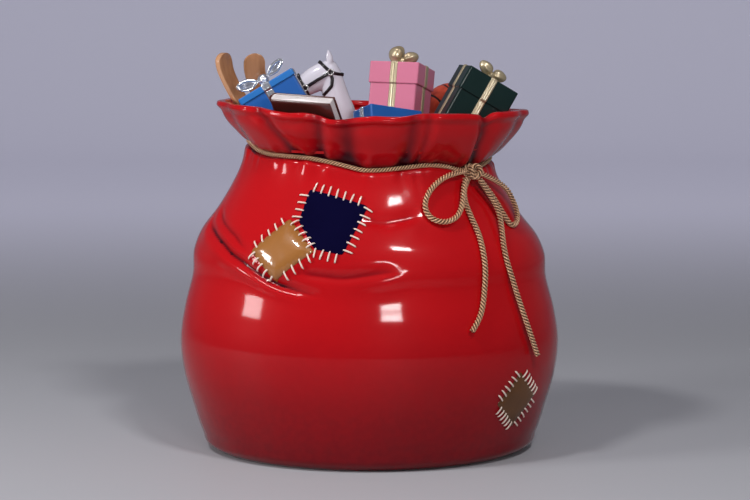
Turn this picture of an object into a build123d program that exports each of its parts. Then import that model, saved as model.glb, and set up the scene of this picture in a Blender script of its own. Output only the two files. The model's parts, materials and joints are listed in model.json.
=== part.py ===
from build123d import *
from math import atan2, cos, degrees, exp, hypot, pi, radians, sin, tan
import os

# A glossy display prop in the form of a tied gift sack, filled with gifts and toys.
# Millimetres. The origin is the centre of the sack's foot, +Z is up and the sack's face looks along -Y.

# ---- sack: driving sizes -------------------------------------------------------------------------
belly_half_width = 438.0        # widest half width of the sack
depth_share = 0.80              # depth of every body section as a share of its width
neck_height = 680.0             # height of the neck's centre
neck_rise_left = 0.045          # slope of the neck: it climbs to the left
neck_rise_back = 0.060          # and to the back
ruff_height = 108.0             # height of the collar above the neck
rim_rise_left = 0.039           # slope of the collar's rim, which is level from front to back
body_wall = 6.0
ruff_wall = 8.0

# each body section: height as a share of the neck height, half width as a share of the belly's
body_profile = [
    (0.000, 0.804), (0.018, 0.856), (0.060, 0.888), (0.160, 0.938), (0.270, 0.984), (0.375, 1.000),
    (0.490, 0.974), (0.600, 0.931), (0.680, 0.922), (0.740, 0.882), (0.809, 0.800), (0.882, 0.728),
    (0.950, 0.672), (1.000, 0.648),
]
# each ruff section: share of the ruff's height, then half width and shift to the right as shares of the
# belly's half width
ruff_profile = [
    (0.00, 0.648, 0.000), (0.08, 0.651, 0.004), (0.35, 0.706, 0.015), (0.70, 0.778, 0.018),
    (1.00, 0.806, 0.018),
]

# pleats of the ruff: angle of each valley, its depth at the rim and its half breadth in degrees
ruff_pleats = [
    (12, 8, 6), (36, 9, 7), (60, 10, 7), (83, 9, 7), (104, 10, 7), (128, 9, 6), (150, 10, 6), (172, 8, 6),
    (199, 8, 6), (226, 9, 6), (247, 12, 6), (263, 12, 7), (286, 10, 6), (303, 8, 6), (323, 12, 6), (344, 9, 6),
]
ruff_points = 60                # points round each ruff section

# ---- floors --------------------------------------------------------------------------------------
base_plate_thickness = 8.0
shelf_rise = 26.0               # height of the false floor, which the gifts stand on, above the neck
shelf_thickness = 6.0

# ---- patches -------------------------------------------------------------------------------------
patch_thickness = 3.0
stitch_height = 2.0             # how far a stitch stands proud of the patch
stitch_length = 23.0
stitch_width = 3.6
stitch_gap = 0.3                # between a stitch's middle and the patch

# ---- rope ----------------------------------------------------------------------------------------
rope_diameter = 14.0
rope_clearance = 4.0            # between the neck and the rope, at the oval's ends
knot_radius = 17.0
knot_bearing = -47.0            # of the knot, about the middle of the rope ring's right-hand arc
knot_standoff = 10.5            # of the knot's centre outwards from the ring's centreline
knot_drop = 4.7                 # of the knot's centre below the ring's centreline

# ---- gifts ---------------------------------------------------------------------------------------
gift_gap = 0.3                  # between a gift and the shelf it stands on
card = 3.0                      # wall of the gift boxes
lid_play = 0.4                  # between a lid and its box
ribbon_thickness = 1.5

neck_half_width = belly_half_width * body_profile[-1][1]
neck_half_depth = neck_half_width * depth_share
shelf_top = neck_height + shelf_rise
gift_scale = neck_half_width / 283.8    # the gifts are drawn for this neck, and grow with it

os.makedirs("parts", exist_ok=True)


def save(piece, name):
    """Name a finished piece and write it out."""
    piece.part.label = name
    export_step(piece.part, f"parts/{name}.step")


# ---- the sack's form -----------------------------------------------------------------------------
def neck_slope(height):
    """How much of the neck's slope the section at a height has: none at the foot, all at the neck."""
    return min(1.0, height / neck_height) ** 3


def section_plane(height, rise_left, rise_back, shift=0.0):
    """Plane of a section: it climbs to the left and to the back, and is shifted to the right of the axis."""
    return Plane(origin=(shift, 0, height), x_dir=(1, 0, -rise_left), z_dir=(rise_left, -rise_back, 1))


def belly_form(inset):
    """Solid inside the belly's surface, set in by inset."""
    with BuildPart() as form:
        for height_share, width_share in body_profile:
            height = neck_height * height_share
            half_width = belly_half_width * width_share
            slope = neck_slope(height)
            with BuildSketch(section_plane(height, neck_rise_left * slope, neck_rise_back * slope)):
                Ellipse(half_width - inset, half_width * depth_share - inset)
        loft()
    return form.part


def pleated_ring(half_width, half_depth, rise):
    """Closed curve of a ruff section: an ellipse drawn in at each pleat, more so towards the rim."""
    points = []
    for step in range(ruff_points):
        angle = 360 * step / ruff_points
        drawn_in = 0.0
        for valley, depth, breadth in ruff_pleats:
            away = (angle - valley + 180) % 360 - 180
            drawn_in += depth * sin(pi / 2 * rise) * exp(-((away / breadth) ** 2))
        reach_x = half_width - drawn_in
        reach_y = half_depth - drawn_in
        points.append((reach_x * cos(radians(angle)), reach_y * sin(radians(angle))))
    return Spline(*points, periodic=True)


def ruff_form(inset):
    """Solid inside the ruff's surface, set in by inset."""
    with BuildPart() as form:
        for rise, width_share, shift_share in ruff_profile:
            half_width = belly_half_width * width_share
            shift = belly_half_width * shift_share
            rise_left = neck_rise_left + (rim_rise_left - neck_rise_left) * rise
            rise_back = neck_rise_back * (1 - rise)
            with BuildSketch(section_plane(neck_height + ruff_height * rise, rise_left, rise_back, shift)):
                with BuildLine():
                    pleated_ring(half_width - inset, half_width * depth_share - inset, rise)
                make_face()
        loft()
    return form.part


belly_outer = belly_form(0)
belly_inner = belly_form(body_wall)
ruff_inner = ruff_form(ruff_wall)
floor_sheet = 4 * belly_half_width      # side of a square larger than the sack

with BuildPart() as sack_body:
    add(belly_outer)
    add(belly_inner, mode=Mode.SUBTRACT)
save(sack_body, "sack_body")

with BuildPart() as sack_ruff:
    add(ruff_form(0))
    add(ruff_inner, mode=Mode.SUBTRACT)
save(sack_ruff, "sack_ruff")

with BuildPart() as base_plate:
    with BuildSketch():
        Rectangle(floor_sheet, floor_sheet)
    extrude(amount=base_plate_thickness)
    add(belly_inner, mode=Mode.INTERSECT)
save(base_plate, "base_plate")

with BuildPart() as gift_shelf:
    with BuildSketch(Plane.XY.offset(shelf_top - shelf_thickness)):
        Rectangle(floor_sheet, floor_sheet)
    extrude(amount=shelf_thickness)
    add(ruff_inner, mode=Mode.INTERSECT)
save(gift_shelf, "gift_shelf")

# ---- patches and their stitches ------------------------------------------------------------------
# A patch is drawn flat, on a plane that faces the sack there, and takes the sack's curve.
def facing_plane(x_share, y_share, z_share, heading, lift):
    """Plane at a point on the sack, as shares of its half width, half depth and neck height: heading is its
    bearing and lift its slope."""
    place = (belly_half_width * x_share, belly_half_width * depth_share * y_share, neck_height * z_share)
    outward = Vector(cos(radians(heading)) * cos(radians(lift)), sin(radians(heading)) * cos(radians(lift)),
                     sin(radians(lift)))
    return Plane(origin=place, x_dir=(-sin(radians(heading)), cos(radians(heading)), 0), z_dir=outward)


patch_skin = belly_form(-patch_thickness)
patch_top = patch_skin.faces().sort_by(SortBy.AREA)[-1]
patch_corner = 5.0
patch_reach = 70.0              # how far a patch's outline is carried in and out of its plane


def sew_patch(name, plane, outline, rows, beside=None):
    """A patch cut to an outline, and its stitches: each row is start, end, count and slant."""
    with BuildPart() as patch:
        with BuildSketch(plane):
            with BuildLine():
                Polyline(*outline, close=True)
            make_face()
            fillet(vertices(), patch_corner)
        extrude(amount=patch_reach, both=True)
        add(patch_skin, mode=Mode.INTERSECT)
        add(belly_outer, mode=Mode.SUBTRACT)
        if beside:
            add(beside, mode=Mode.SUBTRACT)
    with BuildPart() as stitches:
        for start, end, count, slant in rows:
            for number in range(count):
                share = (number + 0.5) / count
                middle = plane.from_local_coords(
                    (start[0] + (end[0] - start[0]) * share, start[1] + (end[1] - start[1]) * share, 0))
                on_patch = stitch_seat(middle, plane.z_dir)
                along = plane.x_dir.rotate(Axis((0, 0, 0), plane.z_dir), slant)
                outward = patch_top.normal_at(on_patch)
                seat = Plane(origin=on_patch, x_dir=along - outward * along.dot(outward), z_dir=outward)
                with BuildSketch(seat.offset(stitch_gap)):
                    SlotOverall(stitch_length, stitch_width)
                extrude(amount=stitch_height)
    save(patch, f"{name}_patch")
    save(stitches, f"{name}_stitches")
    return patch.part


def stitch_seat(point, outward):
    """Where the line through a point, along outward, comes out of the patch's surface."""
    crossings = patch_top.find_intersection_points(Axis(point, outward))
    places = [place for place, normal in crossings]
    return max(places, key=lambda place: (place - point).dot(outward))


navy_patch = sew_patch("navy", facing_plane(-0.1758, -0.7591, 0.8162, -100.5, 31),
          [(-65, 80), (76, 43), (29, -83), (-38, -71), (-84, 2)],
          [((-57, 82), (61, 49), 7, 74), ((-71, 71), (-87, 4), 4, -8),
           ((75, 42), (35, -79), 7, -20), ((-43, -73), (21, -88), 4, 74)])
sew_patch("tan", facing_plane(-0.4406, -0.7791, 0.7235, -114.4, 22.2),
          [(1, 82), (80, 4), (-10, -71), (-81, -3)],
          [((-6, 76), (-71, 4), 5, 124), ((-76, -7), (-17, -67), 5, 44),
           ((11, -59), (75, -4), 4, 115), ((10, 74), (72, 10), 5, 36)], navy_patch)
sew_patch("lower", facing_plane(0.7557, -0.5993, 0.2191, -44.7, -14.5),
          [(-3, 69), (69, -1), (1, -70), (-64, -6)],
          [((-9, 66), (-59, 4), 6, -42), ((6, 64), (66, 6), 6, 50),
           ((-57, -16), (-7, -66), 6, 50), ((64, -9), (7, -66), 6, -41)])


# ---- rope ----------------------------------------------------------------------------------------
rope_radius = rope_diameter / 2
neck_plane = section_plane(neck_height, neck_rise_left, neck_rise_back)
ring_half_width = neck_half_width + rope_radius + rope_clearance
ring_half_depth = neck_half_depth + rope_radius + rope_clearance
# an oval of four arcs, which meet at 45 degrees
end_radius = (cos(pi / 4) * (ring_half_width + ring_half_depth) - ring_half_width) / (2 * cos(pi / 4) - 1)
side_radius = ring_half_width + ring_half_depth - end_radius

with BuildPart() as neck_rope:
    with BuildLine(neck_plane) as oval:
        CenterArc((ring_half_width - end_radius, 0), end_radius, -45, 90)
        CenterArc((0, ring_half_depth - side_radius), side_radius, 45, 90)
        CenterArc((end_radius - ring_half_width, 0), end_radius, 135, 90)
        CenterArc((0, side_radius - ring_half_depth), side_radius, 225, 90)
    with BuildSketch(Plane(origin=oval.line @ 0, z_dir=oval.line % 0)):
        Circle(rope_radius)
    sweep(path=oval.line)
save(neck_rope, "neck_rope")

knot_arm = end_radius + knot_standoff
knot_centre = neck_plane.from_local_coords(
    (ring_half_width - end_radius + knot_arm * cos(radians(knot_bearing)),
     knot_arm * sin(radians(knot_bearing)), -knot_drop))

# the cords' points, from the knot's centre
rope_routes = {
    "left_bow_loop": [
        (-21, -13, 3), (-41, -30, 2), (-76, -51, -8), (-106, -76, -33), (-119, -94, -65),
        (-106, -103, -93), (-73, -101, -104), (-42, -79, -93), (-31, -58, -63), (-29, -40, -33),
        (-20, -25, -13),
    ],
    "right_bow_loop": [
        (18, 17, -4), (30, 33, -13), (49, 56, -27), (67, 77, -46), (82, 84, -70), (96, 71, -96),
        (99, 44, -117), (85, 15, -122), (67, 13, -99), (52, 14, -71), (36, 14, -45), (20, 9, -19),
    ],
    "left_rope_tail": [
        (-5, -19, -14), (-12, -26, -33), (-15, -41, -61), (-8, -57, -95), (4, -75, -130), (13, -99, -167),
        (18, -111, -205), (16, -115, -247), (12, -124, -283), (4, -137, -312), (-13, -151, -337),
    ],
    "right_rope_tail": [
        (15, -10, -17), (20, -5, -33), (31, -1, -55), (42, -5, -81), (51, -20, -112), (62, -49, -149),
        (71, -65, -187), (79, -66, -227), (92, -62, -273), (108, -64, -320), (123, -63, -363),
        (138, -51, -407),
    ],
}


def tangent_radii(route):
    """Radius of the arc at each inner point: as large as its two runs allow."""
    radii = []
    for before, here, after in zip(route, route[1:], route[2:]):
        arriving = here - before
        leaving = after - here
        half_turn = radians(arriving.get_angle(leaving)) / 2
        radii.append(0.45 * min(arriving.length, leaving.length) / tan(half_turn))
    return radii


for name, steps in rope_routes.items():
    route = [knot_centre + Vector(*step) for step in steps]
    radii = tangent_radii(route)
    with BuildPart() as cord:
        with BuildLine() as path:
            FilletPolyline(*route, radius=radii)
        with BuildSketch(Plane(origin=path.line @ 0, z_dir=path.line % 0)):
            Circle(rope_radius)
        sweep(path=path.line)
    section_times_length = pi * rope_radius**2 * path.wires()[0].length
    print(f"{name}: length {path.wires()[0].length:.0f}, smallest radius {min(radii):.0f},",
          f"volume over section times length {cord.part.volume / section_times_length:.4f}")
    save(cord, name)

with BuildPart() as rope_knot:
    with Locations(knot_centre):
        Sphere(knot_radius)
    add(neck_rope.part, mode=Mode.SUBTRACT)
save(rope_knot, "rope_knot")

# ---- gifts ---------------------------------------------------------------------------------------
# Each gift leans in the mouth with its lowest corner on the shelf, and lifts straight up.
def grown(*sizes):
    """Gift sizes, grown with the neck."""
    return tuple(gift_scale * size for size in sizes)


def leaning_plane(x, y, footprint, lean, under):
    """Plane of a gift's base: x and y are its place before it grows with the neck, footprint its width and
    depth, lean its lean back, lean to the side and turn, in degrees, and under what lies below the base."""
    tipped = Plane(Location((0, 0, 0), lean))
    half_width, half_depth = footprint[0] / 2, footprint[1] / 2
    corners = [tipped.from_local_coords((side * half_width, face * half_depth, -under))
               for side in (-1, 1) for face in (-1, 1)]
    lowest = min(corner.Z for corner in corners)
    return Plane(Location((*grown(x, y), shelf_top + gift_gap - lowest), lean))


def wrap_gift(name, plane, size, lid_height, ribbon_width, both_ways=True):
    """A lidded box and the ribbon over its width, and over its depth too when it goes both ways."""
    width, depth, height = size
    box_width = width - 2 * (card + lid_play)
    box_depth = depth - 2 * (card + lid_play)
    lid_height, ribbon_width = grown(lid_height, ribbon_width)
    lid_base = height - lid_height
    with BuildPart() as box:
        with BuildSketch(plane):
            Rectangle(box_width, box_depth)
        extrude(amount=height - card)
        with BuildSketch(plane.offset(card)):
            Rectangle(box_width - 2 * card, box_depth - 2 * card)
        extrude(amount=height, mode=Mode.SUBTRACT)
    with BuildPart() as lid:
        with BuildSketch(plane.offset(lid_base)):
            Rectangle(width, depth)
        extrude(amount=lid_height)
        with BuildSketch(plane.offset(lid_base)):
            Rectangle(width - 2 * card, depth - 2 * card)
        extrude(amount=lid_height - card, mode=Mode.SUBTRACT)
    with BuildPart() as ribbon:
        with BuildSketch(plane.offset(-ribbon_thickness)):
            Rectangle(box_width + 2 * ribbon_thickness, box_depth + 2 * ribbon_thickness)
        extrude(amount=lid_base + ribbon_thickness)
        with BuildSketch(plane.offset(lid_base)):
            Rectangle(width + 2 * ribbon_thickness, depth + 2 * ribbon_thickness)
        extrude(amount=lid_height + ribbon_thickness)
        with BuildSketch(plane.offset(-2 * ribbon_thickness)):
            Rectangle(2 * width, ribbon_width)
            if both_ways:
                Rectangle(ribbon_width, 2 * depth)
        extrude(amount=2 * height, mode=Mode.INTERSECT)
        with BuildSketch(plane):
            Rectangle(box_width, box_depth)
        extrude(amount=lid_base, mode=Mode.SUBTRACT)
        with BuildSketch(plane.offset(lid_base)):
            Rectangle(width, depth)
        extrude(amount=lid_height, mode=Mode.SUBTRACT)
    save(box, f"{name}_box")
    save(lid, f"{name}_lid")
    save(ribbon, f"{name}_ribbon")


def tie_bow(name, plane, loops, breadth, band, knot_size):
    """A bow standing on a lid's ribbon: loops hold each loop's length, thickness, side and rise in degrees."""
    upright = Plane(origin=plane.origin, x_dir=plane.x_dir, z_dir=-plane.y_dir)
    breadth, band, knot_size = grown(breadth, band, knot_size)
    with BuildPart() as bow:
        for loop_length, loop_thickness, side, rise in loops:
            length, thickness = grown(loop_length, loop_thickness)
            middle_x = side * (length / 2 * cos(radians(rise)) + knot_size / 4)
            middle_y = max(thickness / 2, length / 2 * sin(radians(rise)) + thickness / 3)
            with BuildSketch(upright):
                with Locations(Location((middle_x, middle_y, 0), (0, 0, side * rise))):
                    Ellipse(length / 2, thickness / 2)
                    Ellipse(length / 2 - band, thickness / 2 - band, mode=Mode.SUBTRACT)
            extrude(amount=breadth / 2, both=True)
        with BuildSketch(plane):
            RectangleRounded(knot_size, knot_size, knot_size / 4)
        extrude(amount=knot_size)
        with BuildSketch(plane.offset(-band)):
            Rectangle(2 * length + 2 * knot_size, 4 * breadth)
        extrude(amount=band, mode=Mode.SUBTRACT)
    save(bow, f"{name}_bow")


pink_size = grown(119, 117, 166)
pink_lean = (-11.7, 5.3, -20)
pink_plane = leaning_plane(62, -16, pink_size, pink_lean, ribbon_thickness)
wrap_gift("pink", pink_plane, pink_size, 50, 17)
tie_bow("pink", pink_plane.offset(pink_size[2] + ribbon_thickness),
        [(38, 31, -1, 28), (33, 26, 1, 12)], 26, 6, 13)

green_size = grown(129, 110, 132)
green_lean = (-8.5, 29.5, 14)
green_plane = leaning_plane(208, -30, green_size, green_lean, ribbon_thickness)
wrap_gift("green", green_plane, green_size, 56, 16)
tie_bow("green", green_plane.offset(green_size[2] + ribbon_thickness),
        [(34, 26, -1, 24), (32, 26, 1, 14)], 24, 6, 13)

blue_size = grown(142, 94, 109)
blue_lean = (-7, -30.9, -2)
blue_plane = leaning_plane(-180, -27, blue_size, blue_lean, ribbon_thickness)
wrap_gift("blue", blue_plane, blue_size, 16, 20)
tie_bow("blue", blue_plane.offset(blue_size[2] + ribbon_thickness),
        [(62, 32, -1, 8), (52, 32, 1, 26)], 24, 2.5, 14)

flat_size = grown(141, 72, 64)
flat_lean = (-20.5, -3, 35)
flat_plane = leaning_plane(44, -174, flat_size, flat_lean, ribbon_thickness)
wrap_gift("flat", flat_plane, flat_size, 42, 14, both_ways=False)

# book: spine to the left, front cover towards the viewer
book_width, book_thickness, book_height = grown(162, 26, 131)
board, spine_radius, page_inset = grown(3.0, 11.0, 2.0)
book_plane = leaning_plane(-116, -154, (book_width, book_thickness), (32, -15, -26), 0)

with BuildPart() as book_cover:
    with BuildSketch(book_plane):
        Rectangle(book_width, book_thickness)
        fillet(vertices().group_by(Axis.X)[0], spine_radius)
    extrude(amount=book_height)
    with BuildSketch(book_plane):
        with Locations((board, 0)):
            Rectangle(book_width, book_thickness - 2 * board)
        fillet(vertices().group_by(Axis.X)[0], spine_radius - board)
    extrude(amount=book_height, mode=Mode.SUBTRACT)
save(book_cover, "book_cover")

with BuildPart() as book_pages:
    with BuildSketch(book_plane.offset(page_inset)):
        with Locations(((board - page_inset) / 2, 0)):
            Rectangle(book_width - board - page_inset, book_thickness - 2 * board)
        fillet(vertices().group_by(Axis.X)[0], spine_radius - board)
    extrude(amount=book_height - 2 * page_inset)
save(book_pages, "book_pages")

# ball with its seams let into it
ball_radius, seam_width, seam_depth = grown(66.0, 3.4, 1.6)
ball_centre = (*grown(191, 125), shelf_top + gift_gap + ball_radius)
ball_plane = Plane(Location(ball_centre, (70, 15, 25)))

with BuildPart() as ball_seams:
    with Locations(ball_centre):
        Sphere(ball_radius)
        Sphere(ball_radius - seam_depth, mode=Mode.SUBTRACT)
    with BuildSketch(ball_plane):
        with Locations((-0.52 * ball_radius, 0), (0, 0), (0.52 * ball_radius, 0)):
            Rectangle(seam_width, 3 * ball_radius)
        Rectangle(3 * ball_radius, seam_width)
    extrude(amount=2 * ball_radius, both=True, mode=Mode.INTERSECT)
save(ball_seams, "ball_seams")

with BuildPart() as ball:
    with Locations(ball_centre):
        Sphere(ball_radius)
    add(ball_seams.part, mode=Mode.SUBTRACT)
save(ball, "ball")

# toy horse: head and neck, which stands behind the book
horse_y, horse_thickness = grown(150.0, 44.0)
horse_foot = shelf_top + gift_gap
horse_plane = Plane(origin=(0, horse_y, horse_foot), x_dir=(1, 0, 0), z_dir=(0, -1, 0))
horse_outline = [
    (-20, 0), (-36, 60), (-53, 102), (-68, 148), (-80, 172), (-84, 188), (-97, 210), (-108, 186),
    (-120, 180), (-176, 170), (-194, 158), (-190, 138), (-160, 126), (-128, 106), (-112, 92), (-96, 0),
]
strap_thickness, strap_width = grown(2.5, 8.0)

with BuildPart() as horse_head:
    with BuildSketch(horse_plane):
        with BuildLine():
            Polyline(*[grown(*corner) for corner in horse_outline], close=True)
        make_face()
        fillet(vertices().sort_by(Axis.Y)[2:], *grown(4))
    extrude(amount=horse_thickness / 2, both=True)
save(horse_head, "horse_head")

# straps of the bridle, each from one end to the other in the plane of the head
nose_ring = grown(-149, 123)
cheek_ring = grown(-91, 157)
strap_lines = [
    (grown(-186, 165), grown(-136, 107)), (nose_ring, cheek_ring), (grown(-130, 194), cheek_ring),
    (cheek_ring, grown(-58, 144)), (cheek_ring, grown(-88, 129)), (grown(-88, 129), grown(-118, 94)),
]
ring_radius, ring_wire = grown(7.0, 1.6)

with BuildPart() as horse_bridle:
    with BuildSketch(horse_plane):
        with BuildLine():
            Polyline(*[grown(*corner) for corner in horse_outline], close=True)
        make_face()
        offset(amount=strap_thickness)
    extrude(amount=horse_thickness / 2 + strap_thickness, both=True)
    with BuildSketch(horse_plane):
        for (start_x, start_y), (end_x, end_y) in strap_lines:
            middle = ((start_x + end_x) / 2, (start_y + end_y) / 2)
            run = hypot(end_x - start_x, end_y - start_y)
            angle = degrees(atan2(end_y - start_y, end_x - start_x))
            with Locations(Location((*middle, 0), (0, 0, angle))):
                Rectangle(run + strap_width / 2, strap_width)
    extrude(amount=horse_thickness, both=True, mode=Mode.INTERSECT)
    add(horse_head.part, mode=Mode.SUBTRACT)
save(horse_bridle, "horse_bridle")

ring_height = horse_thickness / 2 + strap_thickness + ring_wire + 0.1
with BuildPart() as horse_rings:
    for side in (-1, 1):
        with Locations(horse_plane.offset(side * ring_height)):
            with Locations(nose_ring, cheek_ring):
                Torus(ring_radius, ring_wire)
save(horse_rings, "horse_rings")


# ---- toy skis ------------------------------------------------------------------------------------
(ski_thickness,) = grown(14.0)


def toy_ski(name, heading, depth, sections):
    """A ski on its tail: sections hold each section's x, its height above the shelf and its width."""
    with BuildPart() as ski:
        for section in sections:
            x, y, rise, width = grown(section[0], depth, section[1], section[2])
            with BuildSketch(Plane(Location((x, y, shelf_top + gift_gap + rise), (0, 0, heading)))):
                Rectangle(width, ski_thickness)
        loft()
    save(ski, name)


toy_ski("left_ski", 55, 70,
        [(-240, 0, 50), (-273, 55, 50), (-306, 105, 50), (-331, 156, 50), (-338, 186, 44), (-337, 205, 22)])
toy_ski("right_ski", 4, 110,
        [(-205, 0, 50), (-228, 50, 50), (-251, 100, 50), (-267, 154, 50), (-269, 182, 46), (-267, 202, 24)])
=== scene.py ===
"""A glossy display prop: a patched gift sack tied with twisted rope and filled with gifts and toys.

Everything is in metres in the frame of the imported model: the origin is the centre of the sack's
foot, +Z is up and the sack's face looks along -Y.
"""

import json
import logging
import math
from dataclasses import dataclass, field
from enum import Enum

import bpy
import numpy as np
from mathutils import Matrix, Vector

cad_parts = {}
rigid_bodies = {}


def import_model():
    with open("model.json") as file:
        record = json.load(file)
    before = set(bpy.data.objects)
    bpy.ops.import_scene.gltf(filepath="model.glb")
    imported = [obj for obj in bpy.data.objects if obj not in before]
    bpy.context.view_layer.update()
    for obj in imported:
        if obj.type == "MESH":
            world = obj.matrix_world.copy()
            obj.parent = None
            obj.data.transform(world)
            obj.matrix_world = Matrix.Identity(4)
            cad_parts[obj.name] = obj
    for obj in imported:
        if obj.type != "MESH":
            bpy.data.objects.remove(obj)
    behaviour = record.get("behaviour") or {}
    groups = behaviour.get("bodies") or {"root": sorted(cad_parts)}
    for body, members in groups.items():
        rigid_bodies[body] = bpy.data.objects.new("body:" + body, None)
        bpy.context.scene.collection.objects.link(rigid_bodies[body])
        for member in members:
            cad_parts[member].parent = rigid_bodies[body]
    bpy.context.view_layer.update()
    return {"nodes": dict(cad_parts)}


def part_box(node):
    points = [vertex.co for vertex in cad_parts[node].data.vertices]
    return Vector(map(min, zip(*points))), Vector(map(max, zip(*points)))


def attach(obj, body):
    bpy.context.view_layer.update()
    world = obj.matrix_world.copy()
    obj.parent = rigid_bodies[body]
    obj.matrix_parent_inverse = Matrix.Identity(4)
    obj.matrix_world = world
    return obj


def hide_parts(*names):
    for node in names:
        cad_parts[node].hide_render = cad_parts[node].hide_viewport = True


Array = np.ndarray
Pair = tuple[float, float]
Pairs = tuple[Pair, ...]
Point = tuple[float, float, float]
Colour = Point
Fours = tuple[tuple[float, float, float, float], ...]
Socket = bpy.types.NodeSocket

log = logging.getLogger("gift_sack")
UP = np.array([0.0, 0.0, 1.0])


# ---- small mathematics ----


def unit(vectors: Array) -> Array:
    """Vectors along the array's last axis, each divided by its length."""
    return vectors / np.maximum(np.linalg.norm(vectors, axis=-1, keepdims=True), 1e-12)


def smooth_through(at: Array, knots: Array, values: Array) -> Array:
    """A smooth curve through knots: on each span the cubic h(t) set by its end values and slopes.

    Args:
        at: where the curve is wanted.
        knots: increasing positions.
        values: the value at each knot.

    Returns:
        The curve's values.
    """
    slopes = np.gradient(values, knots)
    span = np.clip(np.searchsorted(knots, at) - 1, 0, len(knots) - 2)
    width = knots[span + 1] - knots[span]
    t = np.clip((at - knots[span]) / width, 0.0, 1.0)
    start = values[span] * (1 + 2 * t) * (1 - t) ** 2 + slopes[span] * width * t * (1 - t) ** 2
    end = values[span + 1] * t * t * (3 - 2 * t) + slopes[span + 1] * width * t * t * (t - 1)
    return start + end


def columns_at(table: tuple[tuple[float, ...], ...], at: Array) -> list[Array]:
    """Smooth curves through a table's further columns, at places along its first."""
    knots, *columns = np.array(table, float).T
    return [smooth_through(at, knots, column) for column in columns]


def turned_by(angle: Array) -> Array:
    """Angles in degrees brought into -180 to 180."""
    return (angle + 180.0) % 360.0 - 180.0


def round_turn(count: int) -> Array:
    """Angles that stand evenly round one turn, in radians."""
    return np.arange(count) * 2 * np.pi / count


def bell(away: Array, breadth: float) -> Array:
    """The bell curve exp(-(away / breadth)^2)."""
    return np.exp(-((away / breadth) ** 2))


def ramp(value: Array, low: float, high: float) -> Array:
    """Smooth step from 0 at low to 1 at high, 3t^2 - 2t^3."""
    t = np.clip((value - low) / (high - low), 0.0, 1.0)
    return t * t * (3 - 2 * t)


def run_along(line: Array) -> Array:
    """The distance along a line to each of its points."""
    return np.concatenate([[0], np.cumsum(np.linalg.norm(np.diff(line, axis=0), axis=1))])


def tangents(line: Array, closed: bool = False) -> Array:
    """The direction of a line at each point, by the difference of the points beside it."""
    step = np.roll(line, -1, axis=0) - np.roll(line, 1, axis=0) if closed else np.gradient(line, axis=0)
    return unit(step)


def turning(lean: Point) -> Array:
    """The matrix Rx Ry Rz, which turns about z first.

    Args:
        lean: the turns about x, y and z, in degrees.

    Returns:
        The 3 by 3 matrix.
    """
    rx, ry, rz = np.radians(lean)
    about_x = np.array([[1, 0, 0], [0, math.cos(rx), -math.sin(rx)], [0, math.sin(rx), math.cos(rx)]])
    about_y = np.array([[math.cos(ry), 0, math.sin(ry)], [0, 1, 0], [-math.sin(ry), 0, math.cos(ry)]])
    about_z = np.array([[math.cos(rz), -math.sin(rz), 0], [math.sin(rz), math.cos(rz), 0], [0, 0, 1]])
    return about_x @ about_y @ about_z


# ---- meshes ----


@dataclass
class Surface:
    """A part of a mesh: its points, its faces as arrays of three or four corners, and extra values.

    Attributes:
        points: n by 3 array.
        faces: arrays of corner numbers, each array with one number of corners a face.
        values: named value for each point.
        uv: u and v for each point, or None.
    """

    points: Array
    faces: list[Array]
    values: dict[str, Array] = field(default_factory=dict)
    uv: Array | None = None

    def volume(self) -> float:
        """Volume inside the faces, which is below zero where they point inwards.

        Returns:
            The sum over triangles of a . (b x c) / 6.
        """
        total = 0.0
        for faces in self.faces:
            for corner in range(1, faces.shape[1] - 1):
                a, b, c = (self.points[faces[:, k]] for k in (0, corner, corner + 1))
                total += float(np.sum(a * np.cross(b, c))) / 6
        return total

    def outward(self) -> "Surface":
        """Turns the faces to point out of the volume that they close.

        Returns:
            The same surface.
        """
        if self.volume() < 0:
            self.faces = [faces[:, ::-1] for faces in self.faces]
        return self

    def mesh(self, name: str) -> bpy.types.Mesh:
        """A smooth-shaded mesh with the surface's named values and UV map.

        Args:
            name: the mesh's name.

        Returns:
            The mesh.
        """
        mesh = bpy.data.meshes.new(name)
        corners = np.concatenate([f.ravel() for f in self.faces]).astype(np.int32)
        sizes = np.concatenate([np.full(len(f), f.shape[1]) for f in self.faces])
        starts = np.concatenate([[0], np.cumsum(sizes)[:-1]]).astype(np.int32)
        mesh.vertices.add(len(self.points))
        mesh.vertices.foreach_set("co", np.ascontiguousarray(self.points, dtype=np.float32).ravel())
        mesh.loops.add(len(corners))
        mesh.loops.foreach_set("vertex_index", corners)
        mesh.polygons.add(len(starts))
        mesh.polygons.foreach_set("loop_start", starts)
        mesh.polygons.foreach_set("use_smooth", np.full(len(starts), True))
        mesh.update(calc_edges=True)
        mesh.validate()
        for label, value in self.values.items():
            attribute = mesh.attributes.new(label, "FLOAT", "POINT")
            attribute.data.foreach_set("value", value.astype(np.float32))
        if self.uv is not None:
            layer = mesh.uv_layers.new(name="UVMap")
            layer.data.foreach_set("uv", self.uv[corners].astype(np.float32).ravel())
        return mesh


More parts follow.
